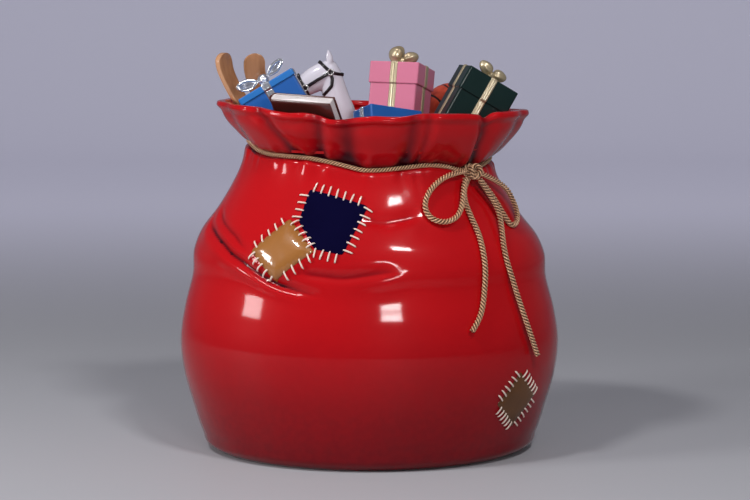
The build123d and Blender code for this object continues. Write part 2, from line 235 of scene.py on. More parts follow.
def grid(points: Array, round_rows: bool = False, round_columns: bool = True, capped: bool = False,
         values: dict[str, Array] | None = None, uv: Array | None = None) -> Surface:
    """A surface on a grid of points, row by row.

    Args:
        points: rows by columns by 3.
        round_rows: the last row joins the first.
        round_columns: the last column joins the first.
        capped: the first and last rows are closed, each by a fan to its middle.
        values: named value for each grid point, rows by columns.
        uv: rows by columns by 2.

    Returns:
        The surface, turned outwards where it is closed.
    """
    rows, columns = points.shape[:2]
    number = np.arange(rows * columns).reshape(rows, columns)
    if round_rows:
        number = np.vstack([number, number[:1]])
    if round_columns:
        number = np.hstack([number, number[:, :1]])
    quads = np.stack([number[:-1, :-1], number[:-1, 1:], number[1:, 1:], number[1:, :-1]], -1)
    faces = [quads.reshape(-1, 4)]
    flat = points.reshape(-1, 3)
    extra = {name: value.reshape(-1) for name, value in (values or {}).items()}
    flat_uv = None if uv is None else uv.reshape(-1, 2)
    if capped:
        for row, middle in ((0, rows * columns), (rows - 1, rows * columns + 1)):
            ring = number[row]
            fan = np.stack([ring[:-1], ring[1:], np.full(len(ring) - 1, middle)], -1)
            faces.append(fan if row else fan[:, ::-1])
        flat = np.vstack([flat, points[0].mean(0), points[-1].mean(0)])
        extra = {name: np.append(value, [value[0], value[-1]]) for name, value in extra.items()}
        if flat_uv is not None:
            flat_uv = np.vstack([flat_uv, flat_uv[:1], flat_uv[-1:]])
    return Surface(flat, faces, extra, flat_uv).outward()


def joined(surfaces: list[Surface]) -> Surface:
    """Several surfaces as one.

    Args:
        surfaces: the surfaces, all with the same named values.

    Returns:
        One surface that holds them all.
    """
    shift = np.cumsum([0] + [len(s.points) for s in surfaces[:-1]])
    faces = [f + start for s, start in zip(surfaces, shift) for f in s.faces]
    values = {name: np.concatenate([s.values[name] for s in surfaces]) for name in surfaces[0].values}
    uv = None if surfaces[0].uv is None else np.vstack([s.uv for s in surfaces])
    return Surface(np.vstack([s.points for s in surfaces]), faces, values, uv)


class Body(Enum):
    """The bodies that pieces ride on."""

    SACK = "sack"
    PINK = "pink_gift"
    GREEN = "green_gift"
    BLUE = "blue_gift"
    FLAT = "flat_gift"
    BOOK = "book"
    BALL = "ball"
    HORSE = "horse"
    LEFT_SKI = "left_ski"
    RIGHT_SKI = "right_ski"


def added(name: str, data: bpy.types.ID) -> bpy.types.Object:
    """Adds an object with its mesh, lamp or camera to the scene.

    Args:
        name: the object's name.
        data: what it shows.

    Returns:
        The object.
    """
    made = bpy.data.objects.new(name, data)
    bpy.context.scene.collection.objects.link(made)
    return made


def piece(name: str, surface: Surface, finish: "Finish", body: Body, replaces: tuple[str, ...]) -> bpy.types.Object:
    """Makes a surface an object that rides on a body.

    Args:
        name: the piece's name.
        surface: its shape.
        finish: what it is made of.
        body: the body that it rides on.
        replaces: the nodes that it stands for.

    Returns:
        The new object.
    """
    made = added(name, surface.mesh(name))
    made.data.materials.append(finish.material())
    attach(made, body.value)
    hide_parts(*replaces)
    log.info("%s: %d points", name, len(surface.points))
    return made


# ---- finishes ----


def set_inputs(node: bpy.types.Node, **values: object) -> None:
    """Sets a node's inputs, each named with _ for a space."""
    for name, value in values.items():
        node.inputs[name.replace("_", " ")].default_value = value


class Nodes:
    """Short ways to add shader nodes to one material."""

    def __init__(self, name: str) -> None:
        """Starts an empty material.

        Args:
            name: the material's name.
        """
        self.material = bpy.data.materials.new(name)
        self.material.use_nodes = True
        self.tree = self.material.node_tree
        self.shader = self.tree.nodes["Principled BSDF"]

    def add(self, kind: str, **settings: object) -> bpy.types.Node:
        """A new node with some of its settings.

        Args:
            kind: the node's type.
            settings: attribute names and values.

        Returns:
            The node.
        """
        node = self.tree.nodes.new(kind)
        for name, value in settings.items():
            setattr(node, name, value)
        return node

    def link(self, out: Socket, into: Socket) -> None:
        """Links an output to an input."""
        self.tree.links.new(out, into)

    def value(self, name: str) -> Socket:
        """The mesh's named value."""
        return self.add("ShaderNodeAttribute", attribute_name=name).outputs["Fac"]

    def place(self) -> Socket:
        """Object coordinates."""
        return self.add("ShaderNodeTexCoord").outputs["Object"]

    def noise(self, scale: float, detail: float = 2.0, stretch: Point = (1, 1, 1)) -> Socket:
        """Noise on object coordinates.

        Args:
            scale: grains to the metre.
            detail: how many finer layers it has.
            stretch: scale along each axis.

        Returns:
            The noise, about 0.5.
        """
        mapping = self.add("ShaderNodeMapping")
        set_inputs(mapping, Scale=stretch)
        self.link(self.place(), mapping.inputs["Vector"])
        texture = self.add("ShaderNodeTexNoise")
        set_inputs(texture, Scale=scale, Detail=detail)
        self.link(mapping.outputs["Vector"], texture.inputs["Vector"])
        return texture.outputs["Fac"]

    def band(self, value: Socket, low: float, high: float, to: Pair = (0, 1)) -> Socket:
        """A value brought from one range into another, and held there.

        Args:
            value: the value.
            low, high: where it starts and ends.
            to: what it becomes at each.

        Returns:
            The new value.
        """
        node = self.add("ShaderNodeMapRange", interpolation_type="SMOOTHSTEP")
        set_inputs(node, From_Min=low, From_Max=high, To_Min=to[0], To_Max=to[1])
        self.link(value, node.inputs["Value"])
        return node.outputs["Result"]

    def maths(self, operation: str, a: Socket, b: Socket | float = 0.0) -> Socket:
        """A Math node.

        Args:
            operation: ADD, MULTIPLY and so on.
            a: the first value.
            b: the second value, a socket or a number, which a SINE leaves out.

        Returns:
            The result.
        """
        node = self.add("ShaderNodeMath", operation=operation)
        self.link(a, node.inputs[0])
        if isinstance(b, (int, float)):
            node.inputs[1].default_value = b
        else:
            self.link(b, node.inputs[1])
        return node.outputs[0]

    def mix(self, share: Socket, a: Socket | Colour, b: Socket | Colour) -> Socket:
        """A mix of two colours.

        Args:
            share: how much of the second.
            a, b: the first and the second colour.

        Returns:
            The colour.
        """
        node = self.add("ShaderNodeMix", data_type="RGBA")
        self.link(share, node.inputs["Factor"])
        for colour, socket in ((a, node.inputs[6]), (b, node.inputs[7])):
            if isinstance(colour, tuple):
                socket.default_value = (*colour, 1)
            else:
                self.link(colour, socket)
        return node.outputs[2]

    def dye(self, share: Socket, a: Socket | Colour, b: Socket | Colour) -> None:
        """Colours the surface with a mix of two colours."""
        self.link(self.mix(share, a, b), self.shader.inputs["Base Color"])

    def bump(self, height: Socket, distance: float, strength: float = 1.0) -> None:
        """Bumps the surface by a height.

        Args:
            height: the height, 0 to 1.
            distance: how high 1 stands, in metres.
            strength: how strongly it shows.
        """
        node = self.add("ShaderNodeBump")
        set_inputs(node, Distance=distance, Strength=strength)
        self.link(height, node.inputs["Height"])
        self.link(node.outputs["Normal"], self.shader.inputs["Normal"])


@dataclass(frozen=True)
class Finish:
    """A painted and lacquered finish.

    Attributes:
        name: the material's name.
        colour: its colour.
        dark: the darker colour of its clouding, grain and page lines, and on the rope the painted shade where the
            plies meet.
        roughness: of the paint under the lacquer.
        coat: how strong the lacquer is.
        metallic: 1 for a metallic paint.
        ripple: height of the lacquer's faint waves.
        mottle: how much the colour clouds.
        specular: how much the paint under the lacquer shines.
        lacquer: the lacquer's index of refraction.
        haze: the lacquer's own roughness.
    """

    name: str
    colour: Colour
    dark: Colour
    roughness: float = 0.35
    coat: float = 0.6
    metallic: float = 0.0
    ripple: float = 0.0004
    mottle: float = 0.35
    specular: float = 0.3
    lacquer: float = 1.5
    haze: float = 0.04

    def material(self) -> bpy.types.Material:
        """The material, made once.

        Returns:
            The material of that name.
        """
        found = bpy.data.materials.get(self.name)
        if found:
            return found
        nodes = Nodes(self.name)
        set_inputs(nodes.shader, Metallic=self.metallic, Coat_Weight=self.coat, Coat_Roughness=self.haze,
                   Coat_IOR=self.lacquer, Specular_IOR_Level=self.specular, Roughness=self.roughness)
        self.paint(nodes)
        return nodes.material

    def paint(self, nodes: Nodes) -> None:
        """Adds the clouded colour and the lacquer's waves.

        Args:
            nodes: the material being made.
        """
        cloud = nodes.band(nodes.noise(9.0, 3.0), 0.4, 0.75, (0, self.mottle))
        nodes.dye(cloud, self.colour, self.dark)
        nodes.bump(nodes.noise(22.0, 1.0), self.ripple)


@dataclass(frozen=True)
class SackFinish(Finish):
    """The sack's red lacquer with painted shade in its folds, at the rope, inside and low down, by the value
    "shade".

    Attributes:
        deepest: the colour of full painted shade, where the shade is 1.
    """

    deepest: Colour = (0.035, 0.0, 0.004)

    def paint(self, nodes: Nodes) -> None:
        """Adds the painted shade over the clouded red.

        Args:
            nodes: the material being made.
        """
        cloud = nodes.band(nodes.noise(4.0, 3.0), 0.42, 0.75, (0, self.mottle))
        red = nodes.mix(cloud, self.colour, self.dark)
        # painted shade from the value "shade", broken up by a fine grain
        shade = nodes.value("shade")
        grain = nodes.band(nodes.noise(60.0, 3.0), 0.3, 0.7, (0.96, 1.04))
        painted_shading = nodes.band(nodes.maths("MULTIPLY", shade, grain), 0.0, 1.0)
        nodes.dye(painted_shading, red, self.deepest)
        nodes.bump(nodes.noise(7.0, 2.0), self.ripple)


@dataclass(frozen=True)
class RopeFinish(Finish):
    """Twisted metallic yarn: fine threads slant across each strand by its UV map; painted shade where plies meet.
    """

    def paint(self, nodes: Nodes) -> None:
        """Adds the threads and the painted shade where the plies meet.

        Args:
            nodes: the material being made.
        """
        wave = nodes.add("ShaderNodeTexWave", bands_direction="DIAGONAL")
        set_inputs(wave, Scale=1.0, Distortion=0.6)
        nodes.link(nodes.add("ShaderNodeUVMap", uv_map="UVMap").outputs["UV"], wave.inputs["Vector"])
        threads = nodes.band(wave.outputs["Fac"], 0.15, 0.75, (0.55, 1.0))
        # painted shade: the threads' colour falls to dark where the plies meet, by "groove"
        lit = nodes.maths("MULTIPLY", threads, nodes.value("groove"))
        nodes.dye(lit, self.dark, self.colour)
        nodes.bump(threads, 0.0006)


@dataclass(frozen=True)
class LeatherBallFinish(Finish):
    """Pebbled ball cover with dark seams, by the value "seam".

    Attributes:
        seam: the colour of the seams.
        pebbles: how many to the metre.
    """

    seam: Colour = (0.008, 0.006, 0.006)
    pebbles: float = 420.0

    def paint(self, nodes: Nodes) -> None:
        """Adds pebbles and seams.

        Args:
            nodes: the material being made.
        """
        pebble = nodes.add("ShaderNodeTexVoronoi")
        set_inputs(pebble, Scale=self.pebbles)
        nodes.link(nodes.place(), pebble.inputs["Vector"])
        cover = nodes.mix(nodes.band(nodes.noise(25.0), 0.35, 0.7), self.colour, self.dark)
        nodes.dye(nodes.value("seam"), cover, self.seam)
        nodes.bump(pebble.outputs["Distance"], 0.0006, 0.6)


@dataclass(frozen=True)
class WoodFinish(Finish):
    """Lacquered wood: grain along the piece, by noise stretched upright, and paler by the value "edge".

    Attributes:
        pale: the colour of the edges.
    """

    pale: Colour = (0.52, 0.26, 0.13)

    def paint(self, nodes: Nodes) -> None:
        """Adds the grain.

        Args:
            nodes: the material being made.
        """
        grain = nodes.noise(60.0, 6.0, (1.0, 1.0, 0.09))
        face = nodes.mix(nodes.band(grain, 0.35, 0.65), self.colour, self.dark)
        nodes.dye(nodes.value("edge"), face, self.pale)
        nodes.bump(grain, 0.0003)


@dataclass(frozen=True)
class PageFinish(Finish):
    """A block of pages: fine leaves lie across the value "leaf".

    Attributes:
        leaves: radians of the leaves' wave to the metre.
    """

    leaves: float = 9000.0

    def paint(self, nodes: Nodes) -> None:
        """Adds the leaves' edges.

        Args:
            nodes: the material being made.
        """
        leaf = nodes.maths("SINE", nodes.maths("MULTIPLY", nodes.value("leaf"), self.leaves))
        lines = nodes.band(leaf, -0.2, 1.0, (0, 0.55))
        worn = nodes.maths("MULTIPLY", lines, nodes.band(nodes.noise(80.0), 0.3, 0.7, (0.4, 1.0)))
        nodes.dye(worn, self.colour, self.dark)
        nodes.bump(leaf, 0.0002)


RED = SackFinish("sack red lacquer", (0.46, 0.0032, 0.006), (0.35, 0.0025, 0.005), 0.4, 1.0, ripple=0.0012,
                 specular=0.04, lacquer=1.28, haze=0.085)
NAVY = Finish("patch navy", (0.0034, 0.0028, 0.022), (0.002, 0.0015, 0.012), 0.6, 0.0, specular=0.0)
TAN = Finish("patch tan", (0.33, 0.125, 0.022), (0.24, 0.085, 0.014), 0.35, 1.0, ripple=0.0020, haze=0.07)
BROWN = Finish("patch brown", (0.12, 0.044, 0.008), (0.04, 0.015, 0.004), 0.4, 0.2, mottle=0.7)
CREAM = Finish("stitch cream", (0.78, 0.64, 0.55), (0.55, 0.36, 0.28), 0.45, 0.4)
# the rope's dark colour is painted shade where its plies meet
GOLD_ROPE = RopeFinish("twisted gold rope", (0.95, 0.59, 0.35), (0.080, 0.022, 0.010), 0.42, 0.2, 0.30)
PINK = Finish("box pink", (0.60, 0.17, 0.27), (0.50, 0.12, 0.20), 0.4, 0.5)
GREEN = Finish("box green", (0.0048, 0.018, 0.0165), (0.003, 0.011, 0.011), 0.35, 0.3, specular=0.1)
# The lid's blue is a lighter copy of the box's blue: painted light on the lid.
BLUE = Finish("lid blue with painted light", (0.018, 0.17, 0.52), (0.010, 0.11, 0.38), 0.35, 0.7)
DARK_BLUE = Finish("box blue", (0.010, 0.105, 0.40), (0.006, 0.06, 0.25), 0.35, 0.7)
GOLD = Finish("ribbon gold", (0.48, 0.40, 0.26), (0.24, 0.13, 0.045), 0.3, 0.5, 0.45, mottle=0.55)
SILVER = Finish("ribbon silver", (0.74, 0.75, 0.80), (0.38, 0.39, 0.45), 0.12, 0.5, 0.85, mottle=0.3)
BOOK = Finish("book brown", (0.075, 0.015, 0.012), (0.030, 0.007, 0.006), 0.35, 0.6)
PAGES = PageFinish("page cream", (0.94, 0.86, 0.86), (0.55, 0.44, 0.40), 0.5, 0.2)
BALL = LeatherBallFinish("ball cover", (0.60, 0.075, 0.035), (0.36, 0.036, 0.018), 0.4, 0.2)
WHITE = Finish("horse white", (0.64, 0.61, 0.69), (0.46, 0.42, 0.50), 0.3, 0.6)
BLACK = Finish("bridle black", (0.012, 0.008, 0.010), (0.004, 0.003, 0.004), 0.3, 0.5)
STEEL = Finish("ring steel", (0.62, 0.62, 0.62), (0.30, 0.30, 0.30), 0.25, 0.3, 0.7)
WOOD = WoodFinish("ski wood", (0.42, 0.19, 0.085), (0.30, 0.125, 0.05), 0.35, 0.6)


# ---- the sack ----


@dataclass(frozen=True)
class Crease:
    """A fold pressed into the sack along a line.

    Attributes:
        line: angle in degrees and height of points along it, from left to right.
        depth: how deep its valley is.
        breadth: half its breadth.
        swell: how far the cloth below it stands out.
        dark: how much painted shade its valley gets.
    """

    line: Pairs
    depth: float
    breadth: float
    swell: float = 0.0
    dark: float = 0.8

    def away(self, angle: Array, height: Array) -> tuple[Array, Array]:
        """How far above the fold's line a point is, and how strong the fold is at its angle.

        The fold grows over the first 22 % of its length and fades over the last 28 %.

        Args:
            angle: degrees.
            height: metres.

        Returns:
            The height above the line, and a strength that fades to nothing at both ends.
        """
        first, last = self.line[0][0], self.line[-1][0]
        along = (angle - first) / (last - first)
        strength = ramp(along, 0.0, 0.22) * (1 - ramp(along, 0.72, 1.0))
        [line] = columns_at(self.line, np.clip(angle, first, last))
        return height - line, strength

    def press(self, angle: Array, height: Array) -> tuple[Array, Array]:
        """How far the fold draws the surface in, and the painted shade in its valley.

        The valley is a bell, twice as broad above the line as below it, and the swelling another,
        2.2 breadths below the line. The painted shade is narrower than the valley.

        Args:
            angle: degrees.
            height: metres.

        Returns:
            depth * valley less swell * swelling, and the painted shade.
        """
        above, strength = self.away(angle, height)
        over = above > 0
        valley = np.where(over, bell(above, 1.6 * self.breadth), bell(above, 0.8 * self.breadth))
        swelling = bell(above + 2.2 * self.breadth, 1.9 * self.breadth)
        # painted shade along the valley, narrower than the valley
        painted_shading = np.where(over, bell(above, 0.9 * self.breadth), bell(above, 0.28 * self.breadth))
        return strength * (self.depth * valley - self.swell * swelling), strength * (self.dark * painted_shading)


@dataclass
class SackForm:
    """The sack's surfaces: stacked ellipses that tip with the neck, folds, and a pleated collar.

    Angles run in degrees round the sack, 0 to the right and 270 towards the viewer.

    Attributes:
        half_width: half the belly's breadth where it is widest.
        depth_share: depth of every section as a share of its breadth.
        neck_height: height of the neck's middle, where the belly and the collar meet.
        rise_left, rise_back: slopes of the neck's plane up to the left and to the back.
        rim_rise_left: slope of the rim's plane up to the left.
        ruff_height: height of the collar.
        wall, lip: thickness of the belly and of the collar.
        lip_roll: how far the collar's lip is rolled out.
        belly: share of the neck's height, and share of half_width there.
        ruff: share of the collar's height, share of half_width there, and shift to the right.
        pleats: angle of each valley, its depth, its breadth in degrees, and the angle that it slants by.
        pleat_swing: how much of their depth the pleats reach on the collar.
        inner_share: how much of that the collar's inner side takes.
        rim: angle, and how far the rim stands above its plane.
        painted_shading: height, and the painted shade on the belly there, darkest at the foot.
        collar_painted_shading: the painted shade at the collar's foot.
        tie_groove: how deep the rope presses the neck.
        tie_breadth: half the breadth of that groove.
        tie_lift_left, tie_lift_right: how far the rope rides up at each side.
        tie_rises: angle, and how far the neck's narrowest line wanders up.
        wander_below, wander_above: how far from the neck the wandering reaches.
        gather_share: depth of the gathers at the rope as a share of the pleats' depth.
        puckers: depth, number round the neck and start of each set of fine puckers.
        gather_shade, tie_shade, pleat_shade: the painted shade that a metre of each depth gives.
        creases: the folds pressed into the belly.
        folded: the heights between which the folds lie, where the mesh is finest.
        columns: points round the belly and round the collar.
    """

    half_width: float = 0.438
    depth_share: float = 0.80
    neck_height: float = 0.680
    rise_left: float = 0.045
    rise_back: float = 0.060
    rim_rise_left: float = 0.039
    ruff_height: float = 0.108
    wall: float = 0.006
    lip: float = 0.010
    lip_roll: float = 0.0075
    belly: Pairs = (
        (0.000, 0.804), (0.018, 0.856), (0.060, 0.888), (0.160, 0.938), (0.270, 0.984), (0.375, 1.000),
        (0.490, 0.974), (0.600, 0.931), (0.680, 0.922), (0.740, 0.882), (0.809, 0.800), (0.882, 0.728),
        (0.950, 0.672), (1.000, 0.648))
    ruff: tuple[Point, ...] = (
        (0.00, 0.648, 0.000), (0.08, 0.651, 0.004), (0.35, 0.706, 0.015), (0.70, 0.778, 0.018),
        (1.00, 0.806, 0.018))
    pleats: Fours = (
        (12, 0.008, 7, 0), (36, 0.009, 8, 0), (60, 0.010, 8, 0), (83, 0.009, 8, 0), (104, 0.010, 8, 0),
        (128, 0.009, 7, 0), (150, 0.010, 7, 0), (172, 0.007, 7, 0), (199, 0.006, 7, 0),
        (229, 0.011, 4.5, -13), (248, 0.012, 4, 3), (260, 0.012, 6, 0), (285.5, 0.011, 4.5, 0),
        (291.5, 0.007, 2, 0), (320, 0.014, 4, -7), (344, 0.006, 7, 0))
    pleat_swing: float = 1.4
    inner_share: float = 0.45
    rim: Pairs = (
        (0, 0.006), (20, 0), (205, 0), (222, -0.001), (233, -0.0055), (238, -0.007), (245, -0.005),
        (250, -0.010), (254, -0.016), (258, -0.016), (266, -0.0075), (270, -0.0045), (276, -0.0045),
        (283, -0.0025), (288, 0.003), (298, 0.005), (309, 0.0045), (314, 0.0015), (317.5, -0.0055),
        (321.5, 0.006), (327, 0.008), (345, 0.008), (360, 0.006))
    painted_shading: Pairs = (
        (0, 0.66), (0.07, 0.56), (0.13, 0.48), (0.20, 0.37), (0.26, 0.30), (0.33, 0.17), (0.42, 0.05),
        (0.52, 0.0), (0.62, 0.0), (0.68, 0.12))
    collar_painted_shading: float = 0.45
    tie_groove: float = 0.0115
    tie_breadth: float = 0.0075
    tie_lift_left: float = 0.014
    tie_lift_right: float = 0.008
    tie_rises: Pairs = (
        (0, 0), (180, 0.007), (192, 0.009), (205, 0.002), (216, 0.001), (227, 0.006), (242, 0.0115),
        (251, 0.0095), (259, 0.0045), (267, -0.0020), (276, -0.0005), (286, 0.005), (300, 0.009),
        (309, 0.003), (316, -0.006), (325, -0.008), (332, -0.007), (342, -0.003), (352, 0), (360, 0))
    wander_below: float = 0.09
    wander_above: float = 0.07
    gather_share: float = 0.42
    puckers: tuple[Point, ...] = ((0.0016, 37, 0), (0.0011, 61, 40))
    gather_shade: float = 20.0
    tie_shade: float = 34.0
    pleat_shade: float = 62.0
    creases: tuple[Crease, ...] = (
        Crease(((186, 0.548), (193, 0.522), (202, 0.507), (213, 0.488), (219, 0.473), (225, 0.460),
                (231, 0.443), (237, 0.426), (246, 0.410), (258, 0.396)), 0.010, 0.0075, 0.003, 0.85),
        Crease(((190, 0.556), (200, 0.537), (211, 0.521), (217, 0.511), (223, 0.495), (229, 0.480)),
               0.007, 0.007, 0.0, 0.55),
        Crease(((244, 0.452), (255, 0.445), (262, 0.442), (268, 0.448), (275, 0.456), (283, 0.462)),
               0.006, 0.013, 0.002, 0.45),
        Crease(((266, 0.566), (271, 0.563), (275, 0.561), (282, 0.567), (292, 0.580)),
               0.006, 0.011, 0.002, 0.3),
    )
    folded: Pair = (0.36, 0.60)
    columns: int = 480

    def on_plane(self, angle: Array, height: Array, reach_x: Array, reach_y: Array, fall: Array,
                 rise: Array, shift: Array | float = 0.0) -> Array:
        """Points of tipped ellipses: reach_x cos a along a plane's x and reach_y sin a along its y.

        Args:
            angle: degrees.
            height: height of each plane's centre.
            reach_x, reach_y: half width and half depth.
            fall: each plane's slope down to the right.
            rise: each plane's slope up to the back.
            shift: how far each plane's centre stands to the right.

        Returns:
            The points.
        """
        none, one = np.zeros_like(fall), np.ones_like(fall)
        across = unit(np.stack([one, none, -fall], -1))
        normal = unit(np.stack([fall, -rise, one], -1))
        back = np.cross(normal, across)
        a = np.radians(angle)
        centre = np.stack([shift * one, none, height * one], -1)
        return centre + (reach_x * np.cos(a))[..., None] * across + (reach_y * np.sin(a))[..., None] * back

    def tie_line(self, angle: Array) -> Array:
        """Height of the rope above the cloth's narrowest line: it rides up at both sides."""
        left, right = (np.clip(way * np.cos(np.radians(angle)), 0, 1) for way in (-1, 1))
        return self.tie_lift_left * left ** 2 + self.tie_lift_right * right ** 2

    def neck_wander(self, angle: Array, height: Array) -> Array:
        """How far the neck's narrowest line wanders up or down, fading out below and above it.

        Args:
            angle: degrees.
            height: height of the section's centre.

        Returns:
            The shift upwards.
        """
        [wandering] = columns_at(self.tie_rises, angle % 360)
        above = height - self.neck_height
        fading = ramp(above, -self.wander_below, 0.0) * (1 - ramp(above, 0.0, self.wander_above))
        return wandering * fading

    def tie_press(self, angle: Array, height: Array) -> Array:
        """How far the rope draws the cloth in: tie_groove * bell(height from the rope's line)."""
        return self.tie_groove * bell(height - self.neck_height - self.tie_line(angle), self.tie_breadth)

    def gathers(self, angle: Array, height: Array) -> Array:
        """Small gathers that run from the rope: the pleats, fading below and above it, and puckers.

        A pucker is a wave, depth sin(number angle + start), just above the rope.

        Args:
            angle: degrees.
            height: metres.

        Returns:
            How far they draw the surface in.
        """
        above = height - self.neck_height
        total = np.zeros_like(angle)
        for valley, depth, breadth, slant in self.pleats:
            away = turned_by(angle - valley + 0.5 * slant)
            total = total + self.gather_share * depth * bell(away, 0.9 * breadth)
        fading = np.where(above > 0, bell(above, 0.020), bell(above, 0.045))
        fine = sum(depth * np.sin(np.radians(number * angle + start))
                   for depth, number, start in self.puckers)
        return total * fading + fine * bell(above - 0.008, 0.024)

    def at_the_rope(self, angle: Array, height: Array) -> tuple[Array, Array]:
        """How far the rope's gathers and groove draw the cloth in, and the painted shade they give."""
        gathered, pressed = self.gathers(angle, height), self.tie_press(angle, height)
        return gathered + pressed, self.gather_shade * gathered + self.tie_shade * pressed

    def body(self, angle: Array, height: Array, inset: float = 0.0) -> tuple[Array, Array]:
        """The belly's surface and its shade.

        A section tips with the cube of its share of the neck's height, so that the foot lies flat.

        Args:
            angle: degrees, 270 towards the viewer.
            height: height of the section's centre.
            inset: how far inside the outer surface.

        Returns:
            Points, and the painted shade of each.
        """
        share = height / self.neck_height
        [breadth] = columns_at(self.belly, share)
        reach = self.half_width * breadth
        drawn, shade = self.at_the_rope(angle, height)
        for crease in self.creases:
            depth, dark = crease.press(angle, height)
            drawn, shade = drawn + depth, shade + dark
        inside = drawn + inset
        slope = np.minimum(1.0, share) ** 3
        points = self.on_plane(angle, height, reach - inside, reach * self.depth_share - inside,
                               self.rise_left * slope, self.rise_back * slope)
        points[..., 2] += self.neck_wander(angle, height)
        # painted shade by height, darkest at the foot
        [low] = columns_at(self.painted_shading, height)
        return points, np.clip(shade + low, 0, 1)

    def collar(self, angle: Array, rise: Array, inset: Array, lift: Array) -> tuple[Array, Array]:
        """The collar's surface and its shade.

        A pleat is a bell round its slanting valley and swings out over the lowest two thirds. Just
        under the rim another bell rolls the lip outwards.

        Args:
            angle: degrees.
            rise: share of the collar's height.
            inset: how far inside the outer surface.
            lift: height above the section.

        Returns:
            Points, and the painted shade of each.
        """
        broad, shift = columns_at(self.ruff, rise)
        reach, shift = self.half_width * broad, self.half_width * shift
        height = self.neck_height + self.ruff_height * rise
        drawn, shade = self.at_the_rope(angle, height)
        inward = np.clip(inset / self.lip, 0, 1)
        swing = self.pleat_swing * np.sin(np.pi / 2 * np.clip(1.5 * rise, 0, 1))
        swing = swing * (1 - (1 - self.inner_share) * inward)
        for valley, depth, breadth, slant in self.pleats:
            away = turned_by(angle - valley - slant * (rise - 0.5))
            drawn = drawn + depth * swing * bell(away, breadth)
            # painted shade along each pleat's valley
            shade = shade + self.pleat_shade * depth * bell(away, 0.7 * breadth) * (1 - 0.35 * rise)
        rolled = self.lip_roll * bell(rise - 0.955, 0.075) * np.cos(np.pi * inward)
        inside = drawn - rolled + inset
        [dip] = columns_at(self.rim, angle % 360)
        middle = height + lift + dip * np.clip(rise, 0, 1) ** 1.5
        points = self.on_plane(angle, middle, reach - inside, reach * self.depth_share - inside,
                               self.rise_left + (self.rim_rise_left - self.rise_left) * rise,
                               self.rise_back * (1 - rise), shift)
        points[..., 2] += self.neck_wander(angle, height)
        # painted shade at the collar's foot, next to the rope
        low = self.collar_painted_shading * (1 - ramp(rise, 0.0, 0.45))
        return points, np.clip(shade + low, 0, 1)

    def round_angles(self) -> Array:
        """The angle of each column of points, in degrees."""
        return np.arange(self.columns) * 360.0 / self.columns

    def body_shell(self) -> Surface:
        """The belly: outer surface up, with its rows closest over the folds, and inner wall down.

        Returns:
            A closed shell.
        """
        low, high = self.folded
        heights = np.concatenate([np.linspace(0, low, 42), np.linspace(low, high, 86)[1:],
                                  np.linspace(high, self.neck_height, 32)[1:]])
        angle, up = np.meshgrid(self.round_angles(), heights)
        outer, shade = self.body(angle, up)
        angle, down = np.meshgrid(self.round_angles(), np.linspace(self.neck_height, 0, 36))
        inner, _ = self.body(angle, down, self.wall)
        # the inner wall gets full painted shade
        return grid(np.vstack([outer, inner]), round_rows=True,
                    values={"shade": np.vstack([shade, np.ones_like(down)])})

    def collar_shell(self, rows: int = 60) -> Surface:
        """The collar: outer surface up, a half round over the lip, and the inner surface down.

        Args:
            rows: points up it.

        Returns:
            A closed shell.
        """
        turn = np.linspace(0, np.pi, 16)[1:-1]
        none, half = np.zeros(rows), self.lip / 2
        rise = np.concatenate([np.linspace(0, 1, rows), np.ones(len(turn)), np.linspace(1, 0, rows)])
        inset = np.concatenate([none, half * (1 - np.cos(turn)), np.full(rows, self.lip)])
        lift = np.concatenate([none, half * np.sin(turn), none])
        angle, rise = np.meshgrid(self.round_angles(), rise)
        wide = np.ones((1, self.columns))
        points, shade = self.collar(angle, rise, inset[:, None] * wide, lift[:, None] * wide)
        return grid(points, round_rows=True, values={"shade": shade})


@dataclass
class Facing:
    """The plane that a patch is drawn on.

    Attributes:
        origin: the plane's middle.
        heading, lift: the way it faces round the sack and up, in degrees.
    """

    origin: Point
    heading: float
    lift: float

    def axes(self) -> tuple[Array, Array]:
        """The plane's own directions.

        Returns:
            Its x, which is level, and its y, which runs up.
        """
        heading, lift = math.radians(self.heading), math.radians(self.lift)
        level = math.cos(lift)
        out = np.array([level * math.cos(heading), level * math.sin(heading), math.sin(lift)])
        x = unit(np.cross(UP, out))
        return x, np.cross(out, x)


